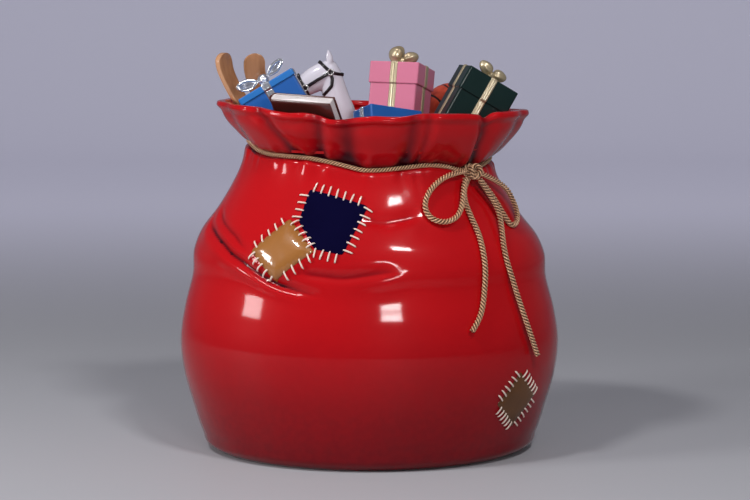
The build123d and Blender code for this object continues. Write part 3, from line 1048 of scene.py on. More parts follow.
@dataclass
class Patch:
    """A sewn-on patch: a crowned glossy pillow on the sack, and the stitches over its edges.

    Attributes:
        name: the patch's node and the start of its stitches' node.
        facing: its plane.
        outline: corners on the plane.
        rows: rows of stitches, each start, end, count and slant in degrees.
        finish: what the patch is made of.
        slot: its material slot, which is not used.
        crown: how far its middle stands proud.
        hem: how much of the outline the cloth fills.
        stitch_length, stitch_width: of each stitch.
        film: how far the patch's edge stands off the sack.
        stitch_film: how far the middle of a stitch's end stands off the sack.
        pucker: height of the waves along its edge.
        pucker_count: how many waves there are round it.
        sunk: how far its underside lies inside the sack.
    """

    name: str
    facing: Facing
    outline: Pairs
    rows: tuple[tuple[Pair, Pair, int, float], ...]
    finish: Finish
    slot: str
    crown: float = 0.0045
    hem: float = 0.95
    stitch_length: float = 0.024
    stitch_width: float = 0.0040
    film: float = 0.0006
    stitch_film: float = 0.0008
    pucker: float = 0.0007
    pucker_count: int = 24
    sunk: float = 0.0025

    def on_sack(self, form: SackForm, x: Array, y: Array, lift: Array) -> Array:
        """Points over the sack at places on the patch's plane.

        The place on the sack is found by Newton's way: angle and height are corrected until the
        surface point's own place on the plane is the wanted one. The outward direction is the
        cross product of a step round the sack and a step up it.

        Args:
            form: the sack.
            x: across the plane.
            y: up the plane.
            lift: how far outside the sack's surface.

        Returns:
            The points.
        """
        across, upward = self.facing.axes()
        origin = np.array(self.facing.origin)
        start = origin + x[..., None] * across + y[..., None] * upward
        angle = np.degrees(np.arctan2(start[..., 1] / form.depth_share, start[..., 0])) % 360
        height = np.clip(start[..., 2], 0.02, form.neck_height - 0.02)
        turn, rise, most = 0.05, 0.0002, 200
        for _ in range(8):
            here = form.body(angle, height)[0] - origin
            round_step = form.body(angle + turn, height)[0] - origin - here
            up_step = form.body(angle, height + rise)[0] - origin - here
            miss_x, miss_y = x - here @ across, y - here @ upward
            a, b = round_step @ across, up_step @ across
            c, d = round_step @ upward, up_step @ upward
            whole = a * d - b * c
            angle = angle + turn * np.clip((d * miss_x - b * miss_y) / whole, -most, most)
            height = height + rise * np.clip((a * miss_y - c * miss_x) / whole, -most, most)
            height = np.clip(height, 0.0, form.neck_height)
        here = form.body(angle, height)[0]
        turn, rise = 0.4, 0.002
        round_step = form.body(angle + turn, height)[0] - form.body(angle - turn, height)[0]
        up_step = form.body(angle, height + rise)[0] - form.body(angle, height - rise)[0]
        return here + lift[..., None] * unit(np.cross(round_step, up_step))

    def edge(self, samples: int) -> Array:
        """The outline with rounded corners: its corners joined, then averaged along its length.

        Args:
            samples: points round it.

        Returns:
            The points on the plane, samples by 2.
        """
        corners = np.array(self.outline + self.outline[:1])
        runs = run_along(corners)
        at = np.linspace(0, runs[-1], samples, endpoint=False)
        line = np.stack([np.interp(at, runs, corners[:, k]) for k in (0, 1)], -1)
        spread = np.arange(-2, 3)
        rounded = sum(np.roll(line, k, axis=0) for k in spread) / len(spread)
        return rounded.mean(0) + self.hem * (rounded - rounded.mean(0))

    def pillow(self, form: SackForm) -> Surface:
        """The patch: rings from its middle to its edge, crown * (1 - share^5), and back under it.

        The edge waves by pucker * sin(pucker_count turns) * share^6.

        Args:
            form: the sack.

        Returns:
            A closed surface.
        """
        samples, rings, under_rings = 160, 34, 8
        edge = self.edge(samples)
        middle = edge.mean(0)
        share = np.concatenate([np.linspace(0.04, 1, rings), np.linspace(0.98, 0.04, under_rings)])
        places = middle + share[:, None, None] * (edge - middle)[None]
        top = self.crown * (1 - share[:rings] ** 5) + self.film
        wave = np.sin(np.arange(samples) / samples * 2 * np.pi * self.pucker_count)
        pucker = self.pucker * wave[None] * share[:rings, None] ** 6
        lift = np.vstack([top[:, None] + pucker, np.full((under_rings, samples), -self.sunk)])
        return grid(self.on_sack(form, places[..., 0], places[..., 1], lift), capped=True)

    def stitches(self, form: SackForm) -> Surface:
        """Rounded bars across the edge: a circle carried along each, 3/4 crown * (1 - u^4) high.

        Args:
            form: the sack.

        Returns:
            Every stitch as one surface.
        """
        draws = np.random.default_rng(len(self.rows) * 7 + len(self.name))
        bars = []
        along = np.linspace(-1, 1, 13)
        around = round_turn(10)
        for start, end, count, slant in self.rows:
            for number in range(count):
                share = (number + 0.5) / count
                middle = start + np.subtract(end, start) * share
                turn = math.radians(slant + draws.uniform(-7, 7))
                half_length = self.stitch_length * draws.uniform(0.92, 1.08) / 2
                way = np.array([math.cos(turn), math.sin(turn)])
                side = np.array([-way[1], way[0]])
                radius = self.stitch_width / 2 * np.sqrt(np.maximum(1 - along ** 10, 0.02))
                aside = radius[:, None] * np.cos(around)
                place = middle + along[:, None, None] * half_length * way + aside[..., None] * side
                arch = self.crown * 0.75 * (1 - along ** 4) + self.stitch_film
                lift = arch[:, None] + 0.8 * radius[:, None] * np.sin(around)
                bars.append(grid(self.on_sack(form, place[..., 0], place[..., 1], lift), capped=True))
        return joined(bars)

    def build(self, form: SackForm) -> None:
        """Makes the patch and its stitches."""
        piece(f"{self.name}_patch_pillow", self.pillow(form), self.finish, Body.SACK,
              (f"{self.name}_patch",))
        piece(f"{self.name}_stitch_bars", self.stitches(form), CREAM, Body.SACK,
              (f"{self.name}_stitches",))


PATCHES = (
    Patch("navy", Facing((-0.077, -0.266, 0.555), -100.5, 31),
          ((-0.065, 0.080), (0.076, 0.043), (0.029, -0.083), (-0.038, -0.071), (-0.084, 0.002)),
          (((-0.057, 0.082), (0.061, 0.049), 7, 74), ((-0.071, 0.071), (-0.087, 0.004), 4, -8),
           ((0.075, 0.042), (0.035, -0.079), 7, -20), ((-0.043, -0.073), (0.021, -0.088), 4, 74)),
          NAVY, "navy_gloss", 0.0035),
    Patch("tan", Facing((-0.193, -0.273, 0.492), -114.4, 22.2),
          ((0.001, 0.082), (0.080, 0.004), (-0.010, -0.071), (-0.081, -0.003)),
          (((-0.006, 0.076), (-0.071, 0.004), 5, 120), ((-0.076, -0.007), (-0.017, -0.067), 5, 43),
           ((0.011, -0.059), (0.075, -0.004), 4, 118), ((0.010, 0.074), (0.072, 0.010), 5, 34)),
          TAN, "tan_gloss", 0.0080),
    Patch("lower", Facing((0.331, -0.210, 0.149), -44.7, -14.5),
          ((-0.003, 0.069), (0.069, -0.001), (0.001, -0.070), (-0.064, -0.006)),
          (((-0.009, 0.066), (-0.059, 0.004), 6, -42), ((0.006, 0.064), (0.066, 0.006), 6, 50),
           ((-0.057, -0.016), (-0.007, -0.066), 6, 50), ((0.064, -0.009), (0.007, -0.066), 6, -41)),
          BROWN, "brown_gloss"),
)


# ---- rope ----


@dataclass
class TwistedRope:
    """Rope of plies that wind round a line.

    Attributes:
        diameter: across the whole rope.
        pitch: length of one full turn.
        plies: how many wind together.
        ply_share: radius of a ply as a share of the rope's diameter.
        thread_length, thread_turn: metres along and radians round a ply to a wave of the threads.
    """

    diameter: float = 0.0128
    pitch: float = 0.0235
    plies: int = 3
    ply_share: float = 0.232
    thread_length: float = 0.006
    thread_turn: float = 2.1

    def along(self, line: Array, outward: Array, closed: bool = False) -> Surface:
        """The plies round a line: each ply's middle is the line plus a vector that turns once a pitch.

        The value "groove" is 1 on a ply's outer side and falls to 0 where the plies meet; it carries painted shade.

        Args:
            line: points of the centreline, n by 3.
            outward: a direction at each point, never along the line.
            closed: whether the line joins up.

        Returns:
            The plies as one surface.
        """
        tangent = tangents(line, closed)
        run = run_along(np.vstack([line, line[:1]]) if closed else line)
        turns = round(run[-1] / self.pitch) if closed else run[-1] / self.pitch
        wind = 2 * np.pi * turns * run[:len(line)] / run[-1]
        side = unit(np.cross(tangent, outward))
        up = np.cross(side, tangent)
        ply_radius = self.diameter * self.ply_share
        reach = self.diameter / 2 - ply_radius
        around = round_turn(12)
        surfaces = []
        for ply in range(self.plies):
            phase = wind + 2 * np.pi * ply / self.plies
            middle = line + reach * (np.cos(phase)[:, None] * side + np.sin(phase)[:, None] * up)
            spin = around[None] + phase[:, None]
            ring = np.cos(spin)[..., None] * side[:, None] + np.sin(spin)[..., None] * up[:, None]
            points = middle[:, None] + ply_radius * ring
            # painted shade: "groove" falls from a ply's outer side to where the plies meet
            groove = np.broadcast_to(np.clip(0.2 + 0.9 * np.cos(around), 0, 1), points.shape[:2])
            uv = np.stack(np.broadcast_arrays(run[:len(line), None] / self.thread_length,
                                              around[None] / self.thread_turn), -1)
            surfaces.append(grid(points, round_rows=closed, capped=not closed,
                                 values={"groove": np.ascontiguousarray(groove)}, uv=uv))
        return joined(surfaces)


def resampled(line: Array, spacing: float) -> Array:
    """A line's points at even spacing.

    Args:
        line: n by 3.
        spacing: about how far apart.

    Returns:
        The new points.
    """
    run = run_along(line)
    at = np.linspace(0, run[-1], max(8, int(run[-1] / spacing)))
    return np.stack([np.interp(at, run, line[:, k]) for k in range(3)], -1)


def eased(line: Array, times: int) -> Array:
    """A line smoothed by averaging each inner point with its neighbours.

    Args:
        line: n by 3.
        times: how often.

    Returns:
        The new points.
    """
    for _ in range(times):
        line = np.vstack([line[:1], (line[:-2] + 2 * line[1:-1] + line[2:]) / 4, line[-1:]])
    return line


class FarEnd(Enum):
    """What a cord's far end comes to: back into the knot, or hanging bare."""

    OBJECT = "object"
    BARE = "bare"


@dataclass
class Cord:
    """One loop or tail of the bow.

    Attributes:
        name: its node.
        far_end: what its far end comes to; not used.
        route: control points.
        diameter: across the cord; not used.
    """

    name: str
    far_end: FarEnd
    route: tuple[Point, ...]
    diameter: float = 0.014

    def line(self) -> Array:
        """Points along the smooth curve that the route controls.

        Returns:
            The curve's points, close together.
        """
        curve = bpy.data.curves.new(self.name + "_route", "CURVE")
        curve.dimensions = "3D"
        spline = curve.splines.new("NURBS")
        spline.points.add(len(self.route) - 1)
        places = np.hstack([np.array(self.route), np.ones((len(self.route), 1))])
        spline.points.foreach_set("co", places.ravel())
        spline.order_u = 3
        spline.use_endpoint_u = True
        spline.resolution_u = 24
        holder = bpy.data.objects.new(self.name + "_route", curve)
        mesh = bpy.data.meshes.new_from_object(holder)
        points = np.zeros(len(mesh.vertices) * 3)
        mesh.vertices.foreach_get("co", points)
        bpy.data.batch_remove([holder, curve, mesh])
        return points.reshape(-1, 3)

    def build(self, rope: TwistedRope) -> None:
        """Its plies are turned from the sack's outward direction, that of an ellipse: x and y over
        the square of the sack's depth share.

        Args:
            rope: the rope that it is cut from.
        """
        line = eased(resampled(self.line(), 0.0016), 12)
        flat = line[:, 1] / SackForm.depth_share ** 2
        outward = unit(np.stack([line[:, 0], flat, np.full(len(line), 0.12)], -1))
        made = piece(self.name + "_rope", rope.along(line, outward), GOLD_ROPE, Body.SACK,
                     (self.name,))


CORDS = (
    Cord("left_bow_loop", FarEnd.OBJECT, (
        (0.213, -0.161, 0.658), (0.198, -0.183, 0.657), (0.163, -0.204, 0.647),
        (0.133, -0.229, 0.622), (0.120, -0.247, 0.590), (0.133, -0.256, 0.562),
        (0.166, -0.254, 0.551), (0.197, -0.232, 0.562), (0.208, -0.211, 0.592),
        (0.210, -0.193, 0.622), (0.214, -0.173, 0.642))),
    Cord("right_bow_loop", FarEnd.OBJECT, (
        (0.249, -0.130, 0.651), (0.265, -0.117, 0.642), (0.291, -0.097, 0.628),
        (0.314, -0.076, 0.609), (0.326, -0.069, 0.585), (0.336, -0.082, 0.559),
        (0.3355, -0.109, 0.536), (0.320, -0.138, 0.530), (0.303, -0.140, 0.556),
        (0.287, -0.139, 0.584), (0.270, -0.139, 0.610), (0.249, -0.139, 0.636))),
    Cord("left_rope_tail", FarEnd.BARE, (
        (0.221, -0.166, 0.641), (0.211, -0.175, 0.622), (0.212, -0.191, 0.594),
        (0.226, -0.209, 0.560), (0.243, -0.228, 0.525), (0.252, -0.252, 0.488),
        (0.257, -0.264, 0.450), (0.255, -0.268, 0.408), (0.251, -0.277, 0.372),
        (0.243, -0.290, 0.343), (0.226, -0.304, 0.318))),
    Cord("right_rope_tail", FarEnd.BARE, (
        (0.247, -0.157, 0.638), (0.258, -0.156, 0.622), (0.272, -0.154, 0.600),
        (0.2885, -0.158, 0.574), (0.295, -0.173, 0.543), (0.2975, -0.202, 0.506),
        (0.304, -0.218, 0.468), (0.317, -0.219, 0.428), (0.331, -0.215, 0.382),
        (0.347, -0.217, 0.335), (0.362, -0.216, 0.292), (0.377, -0.204, 0.248))),
)


@dataclass
class Tie:
    """The rope round the neck, its knot, and the bow's loops and tails.

    Attributes:
        knot: the knot's middle.
        clearance: between the ring and the neck.
        rope: what the cords are cut from.
        ring_rope: the same, drawn tight round the neck.
        wrap_rope: the same, wound into the knot.
        wraps: lean in degrees, reach, stretch and place from the knot's middle of each wrap.
    """

    knot: Point = (0.2315, -0.1465, 0.655)
    clearance: float = 0.0005
    rope: TwistedRope = field(default_factory=TwistedRope)
    ring_rope: TwistedRope = field(default_factory=lambda: TwistedRope(0.0102, 0.0205))
    wrap_rope: TwistedRope = field(default_factory=lambda: TwistedRope(0.0120))
    wraps: tuple[tuple[Point, float, float, Point], ...] = (
        ((80, 25, 10), 0.0125, 0.9, (-0.006, 0.003, 0.001)),
        ((80, -12, 40), 0.0125, 0.95, (0.006, -0.003, 0.001)),
        ((10, 70, 30), 0.011, 1.0, (0.0, -0.004, -0.001)),
        ((35, 20, -35), 0.0135, 0.8, (0.0, -0.002, -0.004)))

    def ring_line(self, form: SackForm, samples: int = 1300) -> Array:
        """The ring's centreline, close round the neck on its tipped plane.

        Args:
            form: the sack.
            samples: points round it.

        Returns:
            The points.
        """
        angle = np.arange(samples) * 360.0 / samples
        neck = form.half_width * form.belly[-1][1]
        stand = self.ring_rope.diameter / 2 + self.clearance - form.tie_groove
        one = np.ones(samples)
        line = form.on_plane(angle, form.neck_height * one, (neck + stand) * one,
                             (neck * form.depth_share + stand) * one, form.rise_left * one,
                             form.rise_back * one)
        line[:, 2] += form.tie_line(angle) + form.neck_wander(angle, form.neck_height * one)
        return line

    def knot_line(self, about: Array, tilt: Array, reach: float, stretch: float) -> Array:
        """One wrap of the knot: an oval round its middle.

        Args:
            about: the knot's middle.
            tilt: matrix that turns the oval from lying flat.
            reach: the oval's half width.
            stretch: its half height as a share of that.

        Returns:
            The points.
        """
        t = round_turn(80)
        flat = np.stack([reach * np.cos(t), reach * stretch * np.sin(t), 0 * t], -1)
        return about + flat @ tilt.T

    def build(self, form: SackForm) -> None:
        """Makes the ring, the knot and the four cords.

        Args:
            form: the sack.
        """
        ring = self.ring_line(form)
        up = np.broadcast_to(np.array([form.rise_left, -form.rise_back, 1.0]), ring.shape)
        piece("neck_rope_plies", self.ring_rope.along(ring, up, True), GOLD_ROPE, Body.SACK,
              ("neck_rope",))
        middle = np.array(self.knot)
        wraps = []
        for lean, reach, stretch, shift in self.wraps:
            line = self.knot_line(middle + np.array(shift), turning(lean), reach, stretch)
            axis = turning(lean) @ UP
            wraps.append(self.wrap_rope.along(line, np.broadcast_to(axis, line.shape), True))
        piece("knot_wraps", joined(wraps), GOLD_ROPE, Body.SACK, ("rope_knot",))
        for cord in CORDS:
            cord.build(self.rope)


# ---- gifts ----


def stand_height() -> float:
    """Height at which the gifts and toys stand: a hair above the shelf."""
    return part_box("gift_shelf")[1][2] + 0.0003


def block(width: float, depth: float, low: float, high: float, edge: float) -> Array:
    """A block with rounded edges, as rows of rounded rectangles from low to high.

    At a turn t of the rounding the row is drawn in by edge (1 - sin t) and lies edge (1 - cos t)
    above the block's foot, and the same below its top. Support rows keep the flat faces flat.

    Args:
        width: along x.
        depth: along y.
        low, high: heights of its foot and its top.
        edge: radius of its edges.

    Returns:
        Rows by columns by 3.
    """
    corner, support, steps = 1.6 * edge, 0.4 * edge, 6
    turn = np.linspace(0, np.pi / 2, steps)
    drawn = np.concatenate([[edge + support], edge * (1 - np.sin(turn)), [0]])
    height = np.concatenate([[0], edge * (1 - np.cos(turn)), [edge + support]])
    inset = np.concatenate([drawn, drawn[::-1]])
    level = np.concatenate([low + height, high - height[::-1]])
    angle = np.radians(np.array([quarter * 90 + np.linspace(0, 90, steps) for quarter in range(4)]))
    signs = np.array([[1, 1], [-1, 1], [-1, -1], [1, -1]])
    centre = signs * np.array([width / 2 - corner, depth / 2 - corner])
    way = np.stack([np.cos(angle), np.sin(angle)], -1)
    arc = centre[None, :, None] + (corner - inset)[:, None, None, None] * way[None]
    along = np.stack([-np.sin(angle), np.cos(angle)], -1)
    before = arc[:, :, :1] - support * along[None, :, :1]
    after = arc[:, :, -1:] + support * along[None, :, -1:]
    flat = np.concatenate([before, arc, after], axis=2).reshape(len(inset), -1, 2)
    return np.concatenate([flat, np.broadcast_to(level[:, None, None], (*flat.shape[:2], 1))], -1)


def band(path: Array, side: Array, width: Array, thickness: float, pleats: int = 0,
         closed: bool = True) -> Surface:
    """A band that follows a path: flat under, and crowned over its width.

    Across the band, at u from -1 to 1, the top stands thickness (0.25 + 0.75 (1 - u^4)) high, with
    ridges 0.16 thickness cos(pi pleats u) (1 - u^8) on it.

    Args:
        path: points of the band's underside, n by 3.
        side: direction of its width at each point.
        width: its width at each point.
        thickness: how thick its middle is.
        pleats: ridges along it.
        closed: whether the path joins up.

    Returns:
        A closed surface.
    """
    tangent = tangents(path, closed)
    side = unit(side - tangent * np.sum(side * tangent, -1, keepdims=True))
    out = np.cross(side, tangent)
    u = np.linspace(-1, 1, 19)
    ridges = 0.16 * np.cos(np.pi * pleats * u) * (1 - u ** 8) * (pleats > 0)
    top = thickness * (0.25 + 0.75 * (1 - u ** 4) + ridges)
    across = np.concatenate([u, u[::-1]])
    lift = np.concatenate([top, np.zeros(len(u))])
    points = (path[:, None] + 0.5 * width[:, None, None] * across[None, :, None] * side[:, None]
              + lift[None, :, None] * out[:, None])
    return grid(points, round_rows=closed, capped=not closed)


def rounded_path(corners: Array, radius: float, spacing: float = 0.0015) -> Array:
    """A closed path through corners, each rounded by averaging along the path.

    Args:
        corners: n by 3.
        radius: about how far the rounding reaches.
        spacing: between the path's points.

    Returns:
        The path's points.
    """
    loop = np.vstack([corners, corners[:1]])
    line = resampled(loop, spacing)[:-1]
    reach = max(1, round(radius / spacing))
    return sum(np.roll(line, k, axis=0) for k in range(-reach, reach + 1)) / (2 * reach + 1)


@dataclass(frozen=True)
class Seat:
    """Where a gift stands: its lowest corner on the shelf, leaned and turned about its base.

    Attributes:
        x: place across the mouth.
        y: place into the mouth.
        footprint: width and depth of its base.
        lean: lean back, lean to the side and turn, in degrees.
        under: how far the ribbon reaches below the base.
    """

    x: float
    y: float
    footprint: Pair
    lean: Point
    under: float = 0.0

    def world(self, local: Array) -> Array:
        """Points of the gift brought from its own frame to its place.

        Args:
            local: points with z up from its base.

        Returns:
            The points in the sack's frame.
        """
        matrix = turning(self.lean)
        half = np.array([*self.footprint, 0.0]) / 2
        corners = np.array([(a, b, 0) for a in (-1, 1) for b in (-1, 1)]) * half - (0, 0, self.under)
        lowest = (corners @ matrix.T)[:, 2].min()
        return local @ matrix.T + np.array([self.x, self.y, stand_height() - lowest])


@dataclass(frozen=True)
class Loop:
    """One loop of a bow.

    Attributes:
        length: its length.
        thickness: its height.
        side: -1 to the left, 1 to the right.
        rise: how far it stands up, in degrees.
    """

    length: float
    thickness: float
    side: int
    rise: float


@dataclass(frozen=True)
class Bow:
    """A bow on a lid.

    Attributes:
        loops: its loops.
        breadth: width of its band.
        band: thickness of its band.
        knot: size of its knot.
        puffed: whether its loops are full puffs rather than open bands.
        flare: how far the bands open towards the viewer.
    """

    loops: tuple[Loop, ...]
    breadth: float
    band: float
    knot: float
    puffed: bool = False
    flare: float = 0.45

    def puff(self, loop: Loop) -> Surface:
        """A full loop: an egg on its side with folds that run into the knot.

        At u along it the egg's radii are sin(pi u^0.75)^0.45 of half its thickness and 0.55 of the
        breadth, times 1 + 0.10 (1 - u) cos 7a round it.

        Args:
            loop: its size and place.

        Returns:
            A closed surface in the bow's frame.
        """
        u, around = np.meshgrid(np.linspace(0.004, 0.996, 44), round_turn(56), indexing="ij")
        rise = math.radians(loop.rise)
        swell = np.sin(np.pi * u ** 0.75) ** 0.45 * (1 + 0.10 * (1 - u) * np.cos(7 * around))
        along = 0.2 * self.knot + loop.length * u
        up = loop.thickness / 2 * swell * np.cos(around)
        x = along * math.cos(rise) - up * math.sin(rise)
        z = along * math.sin(rise) + up * math.cos(rise) + loop.thickness * 0.42
        y = 0.55 * self.breadth * swell * np.sin(around)
        return grid(np.stack([loop.side * x, y, z], -1), capped=True)

    def surfaces(self) -> list[Surface]:
        """The loops and the knot, standing on z = 0 of their own frame.

        Each loop is an ellipse in the upright plane, length cos t by thickness sin t, turned by
        its rise. With s = (1 + cos t) / 2, its height narrows towards the knot by 0.72 + 0.28 s,
        and its band by 0.42 + 0.58 s^0.8.

        Returns:
            Closed surfaces in the bow's frame.
        """
        if self.puffed:
            return [*(self.puff(loop) for loop in self.loops), self.tie()]
        made = []
        for loop in self.loops:
            t = round_turn(72)
            rise = math.radians(loop.rise)
            far_share = (1 + np.cos(t)) / 2
            half_x, half_z = loop.length / 2 - self.band, loop.thickness / 2 - self.band
            flat = np.stack([half_x * np.cos(t), half_z * np.sin(t) * (0.72 + 0.28 * far_share)], -1)
            turn = np.array([[math.cos(rise), math.sin(rise)], [-math.sin(rise), math.cos(rise)]])
            middle_x = loop.length / 2 * math.cos(rise) + self.knot / 4
            middle_z = max(loop.thickness / 2, loop.length / 2 * math.sin(rise) + loop.thickness / 3)
            place = flat @ turn + (middle_x, middle_z)
            path = np.stack([loop.side * place[:, 0], 0 * t, place[:, 1]], -1)
            width = self.breadth * (0.42 + 0.58 * far_share ** 0.8)
            away = unit(path - path.mean(0))
            side = unit(np.array([0.0, -1.0, 0.0]) + self.flare * away) * loop.side
            made.append(band(path, side, width, self.band, 2))
        made.append(self.tie())
        return made

    def tie(self) -> Surface:
        """The pleated knot: an ellipsoid whose radius waves as 1 + 0.07 cos 7a round it.

        Returns:
            A closed surface.
        """
        up, around = np.meshgrid(np.linspace(0.04, np.pi - 0.04, 28), round_turn(56), indexing="ij")
        radius = 0.62 * self.knot * (1 + 0.07 * np.cos(7 * around))
        x = radius * np.sin(up) ** 0.8 * np.cos(around)
        y = 1.12 * radius * np.sin(up) ** 0.8 * np.sin(around)
        z = 0.62 * self.knot * (1 - np.cos(up))
        return grid(np.stack([x, y, z], -1), capped=True)


@dataclass(frozen=True)
class Gift:
    """A lidded box with its ribbon and bow.

    Attributes:
        name: start of its nodes' names.
        body: what it rides on.
        place: x and y of its seat.
        size: width, depth and height.
        lean: lean back, lean to the side and turn, in degrees.
        lid: height of its lid.
        ribbon: width of its ribbon.
        paint, lid_paint, slot: finishes of the box and the lid, and their slot, which is not used.
        ribbon_paint, ribbon_slot: the ribbon's finish, and its slot, which is not used.
        bow: its bow, or None.
        card, play: thickness of its walls, and the gap between box and lid.
        ribbon_thickness, ribbon_below: of the ribbon, and how far it reaches below the box.
        bow_above: how far above the lid the bow stands.
        sink: how far the ribbon's underside lies inside the card.
        edge: radius of its edges.
    """

    name: str
    body: Body
    place: Pair
    size: Point
    lean: Point
    lid: float
    ribbon: float
    paint: Finish
    lid_paint: Finish
    slot: str
    ribbon_paint: Finish
    ribbon_slot: str
    bow: Bow | None = None
    card: float = 0.003
    play: float = 0.0004
    ribbon_thickness: float = 0.0019
    ribbon_below: float = 0.0015
    bow_above: float = 0.0012
    sink: float = 0.0003
    edge: float = 0.0026

    def ribbon_loop(self, seat: Seat, across: bool) -> Surface:
        """The ribbon once round the box, over the step of the lid.

        Args:
            seat: the gift's place.
            across: round the width rather than the depth.

        Returns:
            A closed surface.
        """
        width, depth, height = self.size
        half = (width if across else depth) / 2 - self.sink
        inner = half - self.card - self.play
        step, over_step = height - self.lid, height - self.lid + 0.0015
        top = height - self.sink
        right = [(inner, self.sink), (inner, step), (half, over_step), (half, top)]
        outline = np.array([(-inner, self.sink), *right, *((-x, z) for x, z in right[:0:-1])])
        way = np.array([1.0, 0.0, 0.0] if across else [0.0, 1.0, 0.0])
        path = rounded_path(outline[:, :1] * way + outline[:, 1:] * UP, 0.0022)
        side = np.broadcast_to(np.cross(UP, way), path.shape)
        made = band(path, side, np.full(len(path), self.ribbon), self.ribbon_thickness, 3)
        made.points = seat.world(made.points)
        return made

    def build(self) -> None:
        """Makes the box, the lid, the ribbon and the bow."""
        width, depth, height = self.size
        seat = Seat(*self.place, (width, depth), self.lean, self.ribbon_below)
        wall = 2 * (self.card + self.play)
        box = block(width - wall, depth - wall, 0, height - self.card, self.edge)
        lid = block(width, depth, height - self.lid, height, self.edge)
        piece(f"{self.name}_box_walls", grid(seat.world(box), capped=True), self.paint, self.body,
              (f"{self.name}_box",))
        piece(f"{self.name}_lid_cap", grid(seat.world(lid), capped=True), self.lid_paint, self.body,
              (f"{self.name}_lid",))
        ways = (False, True) if self.bow else (True,)
        piece(f"{self.name}_ribbon_bands", joined([self.ribbon_loop(seat, way) for way in ways]),
              self.ribbon_paint, self.body, (f"{self.name}_ribbon",))
        if self.bow:
            bow = joined(self.bow.surfaces())
            bow.points = seat.world(bow.points + (0, 0, height + self.bow_above))
            piece(f"{self.name}_bow_loops", bow, self.ribbon_paint, self.body, (f"{self.name}_bow",))


GIFTS = (
    Gift("pink", Body.PINK, (0.062, -0.016), (0.119, 0.117, 0.166), (-11.7, 5.3, -20), 0.050, 0.017,
         PINK, PINK, "pink_paint", GOLD, "gold_paint",
         Bow((Loop(0.035, 0.041, -1, 22), Loop(0.034, 0.028, 1, 18)), 0.032, 0.006, 0.015, puffed=True)),
    Gift("green", Body.GREEN, (0.208, -0.030), (0.129, 0.110, 0.132), (-8.5, 29.5, 14), 0.056, 0.016,
         GREEN, GREEN, "green_paint", GOLD, "gold_paint",
         Bow((Loop(0.036, 0.027, -1, 20), Loop(0.034, 0.028, 1, 10)), 0.026, 0.006, 0.014, puffed=True)),
    Gift("blue", Body.BLUE, (-0.180, -0.027), (0.142, 0.094, 0.109), (-7, -30.9, -2), 0.016, 0.020,
         DARK_BLUE, BLUE, "blue_paint", SILVER, "silver_paint",
         Bow((Loop(0.060, 0.038, -1, 12), Loop(0.062, 0.034, 1, 17)), 0.034, 0.0085, 0.020, flare=0.4)),
    Gift("flat", Body.FLAT, (0.044, -0.174), (0.141, 0.072, 0.064), (-20.5, -3, 35), 0.042, 0.014,
         DARK_BLUE, DARK_BLUE, "dark_blue_paint", SILVER, "silver_paint"),
)


# ---- toys ----


@dataclass(frozen=True)
class Book:
    """A thick book with a rounded spine to the left.

    Attributes:
        width: from its spine to its open edge.
        thickness: over both boards.
        height: along its spine.
        board: thickness of its boards.
        page_inset: how far the pages stand back from the boards' ends.
        place, lean: of its seat.
    """

    width: float = 0.162
    thickness: float = 0.026
    height: float = 0.131
    board: float = 0.003
    page_inset: float = 0.002
    place: Pair = (-0.116, -0.154)
    lean: Point = (32, -15, -26)

    def seated(self, local: Array) -> Array:
        """Points of the book brought from its own frame to its place."""
        return Seat(*self.place, (self.width, self.thickness), self.lean).world(local)

    def cover(self) -> Surface:
        """The cover: a board's rounded section, carried from the front round the spine to the back.

        Returns:
            A closed surface.
        """
        right, half = self.width / 2, self.thickness / 2 - self.board / 2
        turn = np.linspace(-np.pi / 2, -1.5 * np.pi, 25)
        left = -self.width / 2 + self.board / 2
        front = np.stack([np.linspace(right - 0.001, left + half + 0.001, 30), np.full(30, -half)], -1)
        arc = np.stack([left + half + half * np.cos(turn), half * np.sin(turn)], -1)
        path = np.vstack([front, arc, front[::-1] * (1, -1)])
        tangent = tangents(path)
        out = np.stack([tangent[:, 1], -tangent[:, 0]], -1)
        section = round_turn(32)
        reach = 1.0 / (np.abs(np.cos(section)) ** 6 + np.abs(np.sin(section)) ** 6) ** (1 / 6)
        lift, tall = reach * np.sin(section) * self.board / 2, reach * np.cos(section)
        tall = np.sign(tall) * np.where(np.abs(tall) > 0.95, 1, np.abs(tall)) * self.height / 2
        flat = path[:, None] + lift[None, :, None] * out[:, None]
        rise = np.broadcast_to(self.height / 2 + tall[None, :, None], (*flat.shape[:2], 1))
        return grid(self.seated(np.concatenate([flat, rise], -1)), capped=True)

    def pages(self) -> Surface:
        """The pages: a block whose value "leaf" is the place through its thickness.

        Returns:
            A closed surface.
        """
        leaves = block(self.width - self.board - self.page_inset - 0.004, self.thickness - 2 * self.board,
                       self.page_inset, self.height - self.page_inset, 0.0008)
        leaves[..., 0] += (self.board - self.page_inset) / 2
        return grid(self.seated(leaves), capped=True, values={"leaf": leaves[..., 1].copy()})

    def build(self) -> None:
        """Makes the cover and the pages."""
        piece("book_boards", self.cover(), BOOK, Body.BOOK, ("book_cover",))
        piece("book_leaves", self.pages(), PAGES, Body.BOOK, ("book_pages",))


